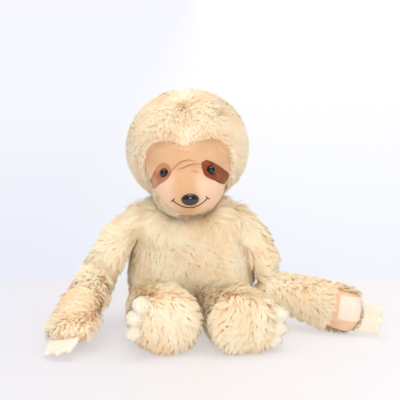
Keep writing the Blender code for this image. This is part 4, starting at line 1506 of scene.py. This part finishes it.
    def hood_comb(self, roots: np.ndarray, facing: np.ndarray) -> np.ndarray:
        """Leans the pile away from the crown, in towards the peak, and off the cheeks."""
        local = self.shape.inside(roots)
        away = unit(local - np.array(self.crown))
        front = local[:, 1] < 0
        near_peak = front * (1 - ease(np.abs(local[:, 0]), *self.peak_width))
        away[:, 0] -= local[:, 0] / self.peak_gather * near_peak * ease(-local[:, 2], *self.peak_rise)
        cheek = ease(-local[:, 2], *self.cheek_rise) * front
        out = unit(np.stack([local[:, 0], 0 * cheek, local[:, 2] + self.cheek_middle], axis=1))
        away += out * cheek[:, None]
        away[:, 2] -= 0.2
        turn = np.array(self.shape.place)[:3, :3]
        return away @ turn.T

    def beside_neck(self, roots: np.ndarray) -> np.ndarray:
        """Tells which roots the neck covers."""
        return np.linalg.norm(roots - np.array(joint_place("neck_turn")), axis=1) < self.neck_room

    def hood_keep(self, roots: np.ndarray, facing: np.ndarray) -> np.ndarray:
        """Keeps the outside of the hood, shorter next to the face, and nothing inside the opening."""
        local = self.shape.inside(roots)
        rim = self.rim(local)
        over_brow = ease(local[:, 2], *self.brow_rise)
        short = 0.42 + 0.58 * ease(-rim, *self.brow_trim)
        length = short * over_brow + (1 - over_brow) * (0.7 + 0.3 * ease(-rim, *self.cheek_trim))
        length[rim > self.rim_overlap] = 0
        length[self.beside_neck(roots)] = 0
        return length

    def hood_reach(self, ways: np.ndarray) -> np.ndarray:
        """Gives the hood's distance from the head's centre in each direction."""
        halves = np.array(self.hood_size) / 2 - self.hood_inset
        return 1 / np.linalg.norm(ways / halves, axis=1)

    def roll_keep(self, roots: np.ndarray, facing: np.ndarray) -> np.ndarray:
        """Keeps the pile that rolls over the velour's edge under the cheeks, and none at the chin."""
        local = self.shape.inside(roots)
        ways = unit(local)
        exposed = self.shape.reach(ways) > self.hood_reach(ways) - self.roll_lift
        size = np.array((self.shape.half_width, -self.shape.bottom))
        inside = edge_distance(np.array(self.roll_shares) * size, local[:, (0, 2)])
        length = 0.5 + 0.4 * ease(-inside, *self.cheek_trim)
        bare = exposed | (self.rim(local) > -1 * MM)
        kept = bare & (inside < 0) & (local[:, 1] < 0) & (local[:, 2] < self.roll_top)
        kept &= ~self.beside_neck(roots)
        return np.where(kept, length * ease(np.abs(local[:, 0]), *self.chin), 0)

    def make_roll(self, face: bpy.types.Object) -> list[bpy.types.Object]:
        """Makes the hood's pile where it rolls over the edge of the face."""
        pieces = self.rolled.grow(face, "roll_pile", self.hood_comb, self.roll_keep, self.wardrobe.pile)
        return pieces

    def make_hood(self) -> list[bpy.types.Object]:
        """Makes the hood's cover, sunk under the face inside the opening, and its pile."""
        bpy.ops.object.select_all(action="DESELECT")
        bpy.ops.mesh.primitive_ico_sphere_add(subdivisions=7, radius=1, location=(0, 0, 0))
        hood = bpy.context.object
        hood.name = hood.data.name = "hood_plush"
        ways = unit(points_of(hood))
        outer = self.hood_reach(ways)
        under = self.shape.reach(ways) - self.under_skin
        sunk = ease(self.rim(ways * outer[:, None]), *self.rim_tuck)
        sunk = np.where(outer < under, 1.0, sunk)
        reach = outer + (under - outer) * sunk
        move_points(hood, self.shape.outside(ways * reach[:, None]))
        set_material(hood, self.wardrobe.backing)
        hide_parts("head_cover")
        pieces = [
            hood,
            *self.pile.grow(hood, "hood_pile", self.hood_comb, self.hood_keep, self.wardrobe.pile),
        ]
        return pieces

    def front_of(self, tree: BVHTree, spots: np.ndarray) -> tuple[np.ndarray, np.ndarray]:
        """Finds the face's front points and normals at flat spots of the head's own front view.

        Args:
            tree: The face's surface.
            spots: The spots, across and up.

        Returns:
            The points and the normals.
        """
        forward = self.shape.place.to_3x3() @ FRONT
        points, normals = [], []
        for x, z in spots:
            start = self.shape.place @ Vector((x, -0.2, z))
            hit, normal, _, _ = tree.ray_cast(start, -forward)
            points.append(hit)
            normals.append(normal)
        return np.array(points), unit(np.array(normals))

    def button(
        self, tree: BVHTree, spot: tuple, size: tuple, sink: float, name: str, material: bpy.types.Material
    ) -> bpy.types.Object:
        """Makes a domed button with its post, seated on the face.

        Args:
            tree: The face's surface.
            spot: The button's place in the front view.
            size: Its width, height and depth.
            sink: How deep its middle sits.
            name: The piece's name.
            material: Its material.

        Returns:
            The button.
        """
        step = self.post
        around = np.array([spot, (spot[0] + step, spot[1]), (spot[0] - step, spot[1])])
        more = np.array([(spot[0], spot[1] + step), (spot[0], spot[1] - step)])
        points, _ = self.front_of(tree, np.concatenate([around, more]))
        at = Vector(points[0])
        out = Vector(np.cross(points[1] - points[2], points[3] - points[4])).normalized()
        across = (Vector((1, 0, 0)) - out * out.x).normalized()
        turn = Matrix((across, out.cross(across), out)).transposed().to_4x4()
        bpy.ops.object.select_all(action="DESELECT")
        bpy.ops.mesh.primitive_uv_sphere_add(segments=48, ring_count=32, radius=0.5)
        dome = bpy.context.object
        dome.data.transform(Matrix.Translation(at - out * sink) @ turn @ Matrix.Diagonal((*size, 1)))
        bpy.ops.mesh.primitive_cylinder_add(vertices=24, radius=self.post / 2, depth=self.post_length)
        rod = bpy.context.object
        rod.data.transform(Matrix.Translation(at - out * (self.post_length / 2 + sink)) @ turn)
        dome.select_set(True)
        bpy.context.view_layer.objects.active = dome
        bpy.ops.object.join()
        dome.name = dome.data.name = name
        set_material(dome, material)
        bpy.ops.object.shade_smooth_by_angle(angle=math.radians(40))
        return dome

    def patch_outline(self, side: Side) -> np.ndarray:
        """Gives an eye patch's outline in the front view, drooping outwards from the eye."""
        corners = self.left_patch if side is Side.LEFT else self.right_patch
        return round_outline(np.array(corners) * MM, 5)

    def stitch_line(self, tree: BVHTree, line: np.ndarray, name: str) -> list[bpy.types.Object]:
        """Lays a row of stitches along a line on the face.

        Args:
            tree: The face's surface.
            line: The line's flat points, close together.
            name: The stitches' name.

        Returns:
            The stitches.
        """
        steps = np.linalg.norm(np.diff(line, axis=0), axis=1)
        walked = np.concatenate([[0], np.cumsum(steps)])
        count = max(2, round(walked[-1] / (self.stitch * 0.8)))
        stops = np.linspace(0, walked[-1], count + 1)
        flat = np.stack([np.interp(stops, walked, line[:, i]) for i in range(2)], axis=1)
        points, normals = self.front_of(tree, flat)
        made = []
        for i in range(count):
            a, b = Vector(points[i]), Vector(points[i + 1])
            out = Vector(unit((normals[i] + normals[i + 1])[None, :])[0])
            along = (b - a).normalized()
            side = along.cross(out).normalized()
            turn = Matrix((along, side, side.cross(along))).transposed().to_4x4()
            size = Matrix.Diagonal(((b - a).length * 1.25, self.thread, self.thread, 1))
            bpy.ops.mesh.primitive_uv_sphere_add(segments=12, ring_count=8, radius=0.5)
            one = bpy.context.object
            one.name = f"{name}_{i}"
            one.data.transform(Matrix.Translation((a + b) / 2 + out * self.thread * 0.2) @ turn @ size)
            made.append(one)
        return made

    def make_smile(self, tree: BVHTree) -> bpy.types.Object:
        """Makes the smile and its two end bars from single stitches."""
        half = self.smile_width / 2
        share = np.linspace(-1, 1, 41)
        drop = -self.smile_drop - self.smile_depth * (1 - share**2)
        line = np.stack([self.mouth_aside + half * share, drop], axis=1)
        stitches = self.stitch_line(tree, line, "smile")
        for side in (-1, 1):
            end = np.array((self.mouth_aside + side * half, -self.smile_drop))
            slope = np.array((side * self.smile_depth * 2, -half))
            slope = slope / np.linalg.norm(slope) * self.smile_bar / 2
            bar = np.stack([end + slope * t for t in np.linspace(-1, 1, 9)])
            stitches += self.stitch_line(tree, bar, "bar")
        alone(stitches[0])
        for stitch in stitches:
            stitch.select_set(True)
        bpy.ops.object.join()
        smile = bpy.context.object
        smile.name = smile.data.name = "smile_stitches"
        set_material(smile, self.wardrobe.thread)
        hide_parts("mouth_stitching")
        return smile

    def build(self) -> list[bpy.types.Object]:
        """Makes the whole head."""
        face = self.make_face()
        tree = BVHTree.FromObject(face, bpy.context.evaluated_depsgraph_get())
        pieces = [face, *self.make_hood(), *self.make_roll(face), self.make_smile(tree)]
        size = (self.eye_size,) * 3
        for side in Side:
            outline = self.patch_outline(side)
            name = f"eye_patch_{side.value}"
            patch = Applique(thickness=0.9 * MM).make(
                f"{name}_velour", outline, lambda spots: self.front_of(tree, spots)
            )
            left = side is Side.LEFT
            # The right patch takes the brown velour painted paler as if lit.
            set_material(patch, self.wardrobe.patch_left if left else self.wardrobe.patch_right_painted_lit)
            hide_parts(name)
            spot = (side.sign * self.eye_spread, -self.eye_drop)
            name = f"eye_{side.value}"
            eye = self.button(tree, spot, size, self.eye_sink, f"{name}_dome", self.wardrobe.eye)
            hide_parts(name)
            pieces += [patch, eye]
        spot = (self.mouth_aside, -self.nose_drop)
        nose = self.button(tree, spot, self.nose_size, self.nose_sink, "nose_dome", self.wardrobe.nose)
        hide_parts("nose")
        pieces.append(nose)
        for piece in pieces:
            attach(piece, "head")
        return pieces


@dataclass
class Arm:
    """One arm: a single plush sleeve over upper arm and forearm, with palm, tape and claws."""

    side: Side
    wardrobe: Wardrobe
    form: SewnForm = SewnForm(voxel=4 * MM, inset=3.4 * MM, swell=1.5 * MM, smoothing=4)
    claw_form: SewnForm = SewnForm(voxel=1.2 * MM, inset=0.0, swell=0.5 * MM, smoothing=4)
    recess: float = 5 * MM
    palm_size: tuple = (42 * MM, 50 * MM)
    palm_corner: float = 6 * MM
    palm_ahead: float = 2.5 * MM
    palm_depth: float = 12 * MM
    palm_end: float = 10 * MM
    tape_size: tuple = (28 * MM, 31 * MM)
    tape_corner: float = 1 * MM
    tape_shift: tuple = (2 * MM, -1.5 * MM)
    tape_turn: float = math.radians(-7)
    bend_room: float = 26 * MM
    ruff: float = 0.8
    ruff_rise: Band = (108 * MM, 138 * MM)
    crest: Band = (122 * MM, 144 * MM)
    seam_gap: float = 13 * MM
    seat: Band = (2 * MM, 24 * MM)
    inner_side: Band = (4 * MM, 14 * MM)
    pressed: float = 7 * MM

    def __post_init__(self) -> None:
        """Finds the arm's joints and how its palm lies."""
        name = self.side.value
        self.shoulder = joint_place(f"shoulder_{name}")
        self.elbow = joint_place(f"elbow_{name}")
        self.seam = joint_axis(f"shoulder_{name}")
        pad, tape, claws = (
            points_of(frame["nodes"][f"{part}_{name}"]) for part in ("palm_pad", "palm_tape", "hand_claws")
        )
        self.palm_middle = Vector(pad.mean(axis=0))
        spread = np.linalg.svd(tape - tape.mean(axis=0), full_matrices=False)[2]
        self.palm = Vector(spread[2])
        if self.palm.dot(Vector(tape.mean(axis=0) - claws.mean(axis=0))) < 0:
            self.palm.negate()
        reach = self.palm_middle - self.elbow
        self.forward = (reach - self.palm * reach.dot(self.palm)).normalized()
        self.across = self.forward.cross(self.palm).normalized()
        along, across = self.middle(pad)
        self.palm_middle += self.forward * (along + self.palm_ahead)
        self.palm_middle += self.across * across
        self.tape_spot = self.middle(tape) + np.array(self.tape_shift)
        self.along = (self.elbow - self.shoulder - self.seam * self.seam_gap).normalized()

    @property
    def sleeve_nodes(self) -> list[str]:
        """Gives the solids that the sleeve stands for."""
        parts = [f"{part}_{kind}" for part in ("upper_arm", "forearm") for kind in ("cover", "stuffing")]
        return [f"{part}_{self.side.value}" for part in parts]

    def middle(self, points: np.ndarray) -> np.ndarray:
        """Gives the middle of a flat piece, along and across the palm."""
        spots = self.palm_spots(points)[:, :2]
        return (spots.min(axis=0) + spots.max(axis=0)) / 2

    def palm_spots(self, roots: np.ndarray) -> np.ndarray:
        """Gives points as the palm sees them: along, across and out of it."""
        axes = np.array([self.forward, self.across, self.palm])
        return (roots - np.array(self.palm_middle)) @ axes.T

    def filled_recess(self) -> bpy.types.Object:
        """Makes the forearm and upper arm one solid, the palm's recess filled up."""
        name = self.side.value
        start = copy_of(self.sleeve_nodes, f"arm_{name}_plush")
        pad = copy_of([f"palm_pad_{name}"], "pad_filler")
        points, normals = points_of(pad), normals_of(pad)
        outer = normals @ np.array(self.palm) > 0.2
        points[outer] += np.array(self.palm) * self.recess
        move_points(pad, points)
        alone(start)
        pad.select_set(True)
        bpy.ops.object.join()
        return start

    def comb(self, roots: np.ndarray, facing: np.ndarray) -> np.ndarray:
        """Leans the pile down the arm, and outwards over the hand's edges."""
        on_forearm = ((roots - np.array(self.elbow)) @ np.array(self.forward) > 0)[:, None]
        way = np.where(on_forearm, np.array(self.forward), np.array(self.along))
        return way + np.array([0, 0, -0.35]) + 0.3 * np.sin(roots[:, (1, 2, 0)] * 80)

    def keep(self, roots: np.ndarray, facing: np.ndarray) -> np.ndarray:
        """Leaves out the palm and the seat on the body."""
        spots = self.palm_spots(roots)
        half = np.array(self.palm_size) / 2
        over = np.abs(spots[:, :2]) - (half - self.palm_corner)
        gap = np.linalg.norm(np.maximum(over, 0), axis=1) - self.palm_corner
        on_palm = (gap < 0.5 * MM) & (facing @ np.array(self.palm) > 0.25)
        length = np.where(on_palm & (spots[:, 2] > -self.palm_depth), 0.0, 1.0)
        at_end = (facing @ np.array(self.forward) > 0.3) & (np.abs(spots[:, 1]) < half[1])
        length[at_end & (spots[:, 2] > -self.palm_end)] *= 0.25
        shoulder = np.array(self.shoulder)
        seated = (facing @ np.array(self.seam) < -0.8) & ((roots - shoulder) @ np.array(self.seam) < 6 * MM)
        length[seated] = 0
        under = (facing[:, 2] < -0.7) & (roots[:, 2] < self.pressed)
        length[under] = np.minimum(length[under], 0.6)
        return length * (1 + self.ruff * ease(roots[:, 2], *self.ruff_rise))

    def free(self, points: np.ndarray) -> np.ndarray:
        """Keeps the cover out at its seat and beside the body, and fills the shoulder's top."""
        seam = np.array(self.seam)
        line = np.array(self.along)
        from_joint = points - np.array(self.shoulder)
        away = from_joint @ seam
        down = from_joint @ line
        beside = (from_joint - down[:, None] * line) @ seam - self.seam_gap
        inner = ease(-beside, *self.inner_side) * (down < (self.elbow - self.shoulder).length)
        share = ease(away, *self.seat) * (1 - 2.2 * inner)
        crest = ease(points[:, 2], *self.crest)
        inside = crest * ease(away, 0, 8 * MM) * (1 - ease(away, 8 * MM, 20 * MM))
        return share * (1 - inside) - 1.8 * inside + 1.3 * crest * ease(away, 14 * MM, 30 * MM)

    def lift(self, tree: BVHTree, spots: np.ndarray) -> tuple[np.ndarray, np.ndarray]:
        """Finds the sleeve's points and normals under flat spots of the palm.

        Args:
            tree: The sleeve's surface.
            spots: The spots, along and across.

        Returns:
            The points and the normals.
        """
        points, normals = [], []
        for along, across in spots:
            start = self.palm_middle + self.palm * 30 * MM
            start = start + self.forward * along + self.across * across
            hit, normal, _, _ = tree.ray_cast(start, -self.palm)
            if hit is None:
                hit, normal, _, _ = tree.find_nearest(start - self.palm * 34 * MM)
            points.append(hit)
            normals.append(normal)
        return np.array(points), unit(np.array(normals))

    def rectangle(self, spot: Sequence[float], size: Sequence[float], corner: float) -> np.ndarray:
        """Gives the outline of a rectangle with round corners.

        Args:
            spot: Its middle.
            size: Its length and width.
            corner: Its corners' radius.

        Returns:
            The outline, its points evenly spaced.
        """
        half = np.array(size) / 2 - corner
        outline = []
        for quarter, signs in enumerate(((1, 1), (-1, 1), (-1, -1), (1, -1))):
            for step in range(7):
                turn = math.pi / 2 * (quarter + step / 6)
                round_off = np.array((math.cos(turn), math.sin(turn))) * corner
                outline.append(np.array(spot) + half * np.array(signs) + round_off)
        return self.spaced(np.array(outline), 72)

    def make_palm(self, sleeve: bpy.types.Object) -> list[bpy.types.Object]:
        """Makes the velour palm and the square of tape on it."""
        name = self.side.value
        tree = BVHTree.FromObject(sleeve, bpy.context.evaluated_depsgraph_get())
        pad = self.rectangle((0, 0), self.palm_size, self.palm_corner)
        tape = self.rectangle(self.tape_spot, self.tape_size, self.tape_corner)
        cos, sin = math.cos(self.tape_turn), math.sin(self.tape_turn)
        tape = self.tape_spot + (tape - self.tape_spot) @ np.array([[cos, sin], [-sin, cos]])
        made = []
        plans = (
            ("palm_pad", pad, 0.6 * MM, self.wardrobe.palm, Slot.FACE),
            ("palm_tape", tape, 1.5 * MM, self.tape_material(), Slot.TAPE),
        )
        for part, outline, thickness, material, slot in plans:
            applique = Applique(thickness=thickness)
            patch = applique.make(f"{part}_{name}_cloth", outline, lambda spots: self.lift(tree, spots))
            set_material(patch, material)
            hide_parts(f"{part}_{name}")
            made.append(patch)
        return made

    @staticmethod
    def spaced(outline: np.ndarray, count: int) -> np.ndarray:
        """Spreads an outline's points evenly along it.

        Args:
            outline: The outline.
            count: How many points to give.

        Returns:
            The outline with evenly spaced points.
        """
        closed = np.concatenate([outline, outline[:1]])
        walked = np.concatenate([[0], np.cumsum(np.linalg.norm(np.diff(closed, axis=0), axis=1))])
        stops = np.linspace(0, walked[-1], count, endpoint=False)
        return np.stack([np.interp(stops, walked, closed[:, i]) for i in range(2)], axis=1)

    def tape_material(self) -> bpy.types.Material:
        """Makes the tape's finish, its weave turned to the tape."""
        turn = Matrix((self.forward, self.across, self.palm)).transposed().to_euler()
        return TapeFinish(f"woven tape {self.side.value}", turn=tuple(turn)).material()

    def make_claws(self) -> bpy.types.Object:
        """Makes the hand's flat velour claws, softened and puffed."""
        name = f"hand_claws_{self.side.value}"
        claws = self.claw_form.make(copy_of([name], f"{name}_velour"))
        set_material(claws, self.wardrobe.claw)
        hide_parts(name)
        return claws

    def build(self) -> list[bpy.types.Object]:
        """Makes the whole arm."""
        name = self.side.value
        sleeve = self.form.make(self.filled_recess(), self.free)
        set_material(sleeve, self.wardrobe.backing)
        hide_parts(*self.sleeve_nodes)
        pile = Pile(seed=31 if self.side is Side.LEFT else 37)
        bending = [
            sleeve,
            *pile.grow(sleeve, f"arm_{name}_pile", self.comb, self.keep, self.wardrobe.pile),
        ]
        palm = self.make_palm(sleeve)
        for piece in bending:
            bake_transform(piece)
        riding = [*palm, self.make_claws()]
        for piece in riding:
            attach(piece, f"forearm_{name}")
        return bending + riding


@dataclass
class Leg:
    """One leg: a short plush sleeve with a broad sole, and puffed velour claws."""

    side: Side
    wardrobe: Wardrobe
    nap: Pile = Pile(
        seed=53, stand=2.8 * MM, reach=4.0 * MM, width=0.45 * MM, per_square_cm=260, lock=1.6 * MM, pull=0.2
    )
    form: SewnForm = SewnForm(voxel=4 * MM, inset=3.6 * MM, swell=1.5 * MM, smoothing=4)
    claw_form: SewnForm = SewnForm(voxel=1.6 * MM, inset=0.0, swell=1.0 * MM, smoothing=9)
    whorl: float = 28 * MM
    socket: float = 18 * MM
    seat: Band = (-14 * MM, 12 * MM)
    toe_side: Band = (16 * MM, 30 * MM)
    toe_fill: float = 1.4
    pressed: float = 7 * MM

    def __post_init__(self) -> None:
        """Finds the hip and the way that the leg lies."""
        self.hip = joint_place(f"hip_{self.side.value}")
        low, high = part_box(f"foot_sole_{self.side.value}")
        middle = (low + high) / 2
        self.forward = Vector((middle.x - self.hip.x, middle.y - self.hip.y, 0)).normalized()
        low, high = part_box(f"foot_claws_{self.side.value}")
        toes = (low + high) / 2 - self.hip
        self.toes = (toes - self.forward * toes.dot(self.forward)).normalized()

    def comb(self, roots: np.ndarray, facing: np.ndarray) -> np.ndarray:
        """Leans the pile along the leg, and over the sole away from the claws and down."""
        forward = np.array(self.forward)
        on_sole = np.clip(facing @ forward * 1.6, 0, 1)[:, None]
        away = roots - np.array(self.hip + self.toes * self.whorl)
        away = unit(away - (away @ forward)[:, None] * forward)
        along = forward + np.array([0, 0, -0.35])
        across = away * 0.3 + np.array([0, 0, -1.0])
        return along * (1 - on_sole) + across * on_sole + 0.25 * np.sin(roots[:, (1, 2, 0)] * 80)

    def keep(self, roots: np.ndarray, facing: np.ndarray) -> np.ndarray:
        """Leaves out what stays inside the body's socket, and keeps the underside short."""
        length = np.ones(len(roots))
        into = (roots - np.array(self.hip)) @ np.array(self.forward)
        length[into < -self.socket] = 0
        under = (facing[:, 2] < -0.7) & (roots[:, 2] < self.pressed)
        length[under] = 0.5
        return length

    def free(self, points: np.ndarray) -> np.ndarray:
        """Keeps the cover out where it seats in the body, and fills it towards the claws."""
        from_hip = points - np.array(self.hip)
        share = ease(from_hip @ np.array(self.forward), *self.seat)
        return share * (1 - self.toe_fill * ease(from_hip @ np.array(self.toes), *self.toe_side))

    def nap_comb(self, roots: np.ndarray, facing: np.ndarray) -> np.ndarray:
        """Leans the claws' short nap down, every way a little."""
        return np.array([[0.0, 0.0, -1.0]]) + 0.6 * np.sin(roots[:, (1, 2, 0)] * 400)

    def nap_keep(self, roots: np.ndarray, facing: np.ndarray) -> np.ndarray:
        """Keeps the nap whole all over the claws."""
        return np.ones(len(roots))

    def build(self) -> list[bpy.types.Object]:
        """Makes the whole leg."""
        name = self.side.value
        nodes = [f"leg_cover_{name}", f"leg_stuffing_{name}", f"foot_sole_{name}"]
        sleeve = self.form.make(copy_of(nodes, f"leg_{name}_plush"), self.free)
        set_material(sleeve, self.wardrobe.backing)
        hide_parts(*nodes)
        pile = Pile(seed=41 if self.side is Side.LEFT else 43)
        pieces = [
            sleeve,
            *pile.grow(sleeve, f"leg_{name}_pile", self.comb, self.keep, self.wardrobe.pile),
        ]
        node = f"foot_claws_{name}"
        claws = self.claw_form.make(copy_of([node], f"{node}_velour"))
        set_material(claws, self.wardrobe.claw)
        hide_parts(node)
        nap = self.nap.grow(claws, f"{node}_nap", self.nap_comb, self.nap_keep, self.wardrobe.nap)
        pieces += [claws, *nap]
        for piece in pieces:
            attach(piece, f"leg_{name}")
        return pieces


@dataclass
class Studio:
    """The pale floor, the soft lamps and the camera."""

    target: Vector = Vector((16.5 * MM, 30.9 * MM, 159 * MM))
    distance: float = 1.5
    elevation: float = math.radians(11)
    lens: float = 100.0
    floor_size: float = 90
    floor_sides: Band = (-0.28, 0.3)
    table_edge: float = 0.218
    edge_blur: float = 0.004
    table_glow: float = 0.55
    wall_top: float = 0.1
    sky: float = 0.77
    mirrored_front: float = 0.15
    key: float = 7.5
    top: float = 9.5

    def floor(self) -> None:
        """Lays the floor: it keeps the toy's shadow, and to the camera it is pale."""
        bpy.ops.mesh.primitive_plane_add(size=self.floor_size, location=(0, 0, 0))
        plane = bpy.context.object
        plane.name = "floor"
        recipe = Recipe("pale table and wall")
        spot = recipe.node("ShaderNodeSeparateXYZ", {0: recipe.place()}).outputs
        x, y = spot[0], spot[1]
        aside = recipe.fade(x, self.floor_sides)
        table = recipe.ramp(
            aside,
            (0.0, shade(237, 237, 246)),
            (0.5, shade(244, 239, 238)),
            (1.0, shade(249, 246, 249)),
        )
        height = self.target.z + self.distance * math.sin(self.elevation)
        back = self.distance * math.cos(self.elevation) - self.target.y
        slope = recipe.sum("DIVIDE", height, recipe.sum("ADD", y, back))
        up = recipe.fade(slope, (height / (self.table_edge + back), self.wall_top))
        low = recipe.ramp(aside, (0.0, shade(234, 237, 249)), (1.0, shade(243, 246, 254)))
        high = recipe.ramp(aside, (0.0, shade(247, 248, 255)), (0.5, shade(255, 255, 255)))
        wall = recipe.mix(up, low, high)
        edge = (self.table_edge - self.edge_blur, self.table_edge + self.edge_blur)
        beyond = recipe.fade(y, edge)
        seen = recipe.mix(beyond, table, wall)
        glowing = recipe.sum("ADD", recipe.sum("MULTIPLY", beyond, 1 - self.table_glow), self.table_glow)
        share = recipe.sum("MULTIPLY", glowing, recipe.direct())
        recipe.dress(Base_Color=seen, Roughness=0.9, Specular_IOR_Level=0.1)
        glow = recipe.node("ShaderNodeEmission", {"Color": seen})
        both = recipe.node("ShaderNodeMixShader", {0: share, 1: recipe.shader.outputs[0], 2: glow.outputs[0]})
        recipe.tree.links.new(both.outputs[0], recipe.output.inputs[0])
        plane.data.materials.append(recipe.material)

    def world(self) -> None:
        """Lights the scene evenly, and shows a pale wall that gloss mirrors dimmer from the front."""
        world = bpy.data.worlds.new("pale studio")
        world.use_nodes = True
        graph = Graph(world.node_tree)
        light = graph.tree.nodes["Background"]
        graph.set(light, "Color", (1.0, 0.985, 0.965))
        graph.set(light, "Strength", self.sky)
        way = graph.node("ShaderNodeSeparateXYZ", {0: graph.node("ShaderNodeTexCoord").outputs["Generated"]})
        room = {"Value": way.outputs[1], "From Min": -0.3, "From Max": 0.3, "To Min": self.mirrored_front}
        mirrored = graph.node("ShaderNodeMapRange", room).outputs[0]
        camera = graph.node("ShaderNodeLightPath").outputs["Is Camera Ray"]
        shown = {"Color": shade(250, 251, 255), "Strength": graph.sum("MAXIMUM", camera, mirrored)}
        seen = graph.node("ShaderNodeBackground", shown)
        shares = {0: graph.direct(), 1: light.outputs[0], 2: seen.outputs[0]}
        mix = graph.node("ShaderNodeMixShader", shares)
        graph.tree.links.new(mix.outputs[0], graph.tree.nodes["World Output"].inputs[0])
        bpy.context.scene.world = world

    def lamp(self, name: str, place: tuple, size: float, power: float, colour: Rgb) -> None:
        """Hangs one soft lamp that faces the toy.

        Args:
            name: The lamp's name.
            place: Where it hangs.
            size: Its width.
            power: Its power in watts.
            colour: Its colour.
        """
        data = bpy.data.lights.new(name, "AREA")
        data.size = size
        data.energy = power
        data.color = colour
        lamp = bpy.data.objects.new(name, data)
        lamp.location = place
        away = Vector(place) - Vector((0, 0, 150 * MM))
        lamp.rotation_euler = away.to_track_quat("Z", "Y").to_euler()
        bpy.context.scene.collection.objects.link(lamp)

    def camera(self) -> None:
        """Sets the camera at the photograph's angle."""
        data = bpy.data.cameras.new("camera")
        data.lens = self.lens
        data.sensor_width = 36
        camera = bpy.data.objects.new("camera", data)
        back = Vector((0, -math.cos(self.elevation), math.sin(self.elevation)))
        camera.location = self.target + back * self.distance
        camera.rotation_euler = (math.pi / 2 - self.elevation, 0, 0)
        bpy.context.scene.collection.objects.link(camera)
        bpy.context.scene.camera = camera

    def build(self) -> None:
        """Sets up the studio."""
        bpy.context.scene.view_settings.view_transform = "Standard"
        self.camera()
        self.floor()
        self.world()
        self.lamp("key lamp", (0.1, -1.6, 0.9), 0.45, self.key, (1.0, 0.99, 0.97))
        self.lamp("top lamp", (0.0, -0.2, 1.9), 1.3, self.top, (1.0, 0.99, 0.97))


def dress_hidden(wardrobe: Wardrobe) -> None:
    """Gives the washers inside the head their own finish."""
    for name, node in frame["nodes"].items():
        if "washer" in name:
            for spot in node.material_slots:
                spot.link = "OBJECT"
                spot.material = wardrobe.washer


def main() -> None:
    """Builds the studio and the toy, part by part."""
    logging.basicConfig(level=logging.INFO, format="%(name)s: %(message)s")
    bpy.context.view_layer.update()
    Studio().build()
    wardrobe = Wardrobe()
    parts = [Trunk(wardrobe), Neck(wardrobe), Head(wardrobe)]
    parts += [kind(side, wardrobe) for kind in (Arm, Leg) for side in Side]
    for part in parts:
        for piece in part.build():
            LOG.info("%s: %d faces", piece.name, len(piece.data.polygons))
    dress_hidden(wardrobe)


if __name__ == "__main__":
    main()
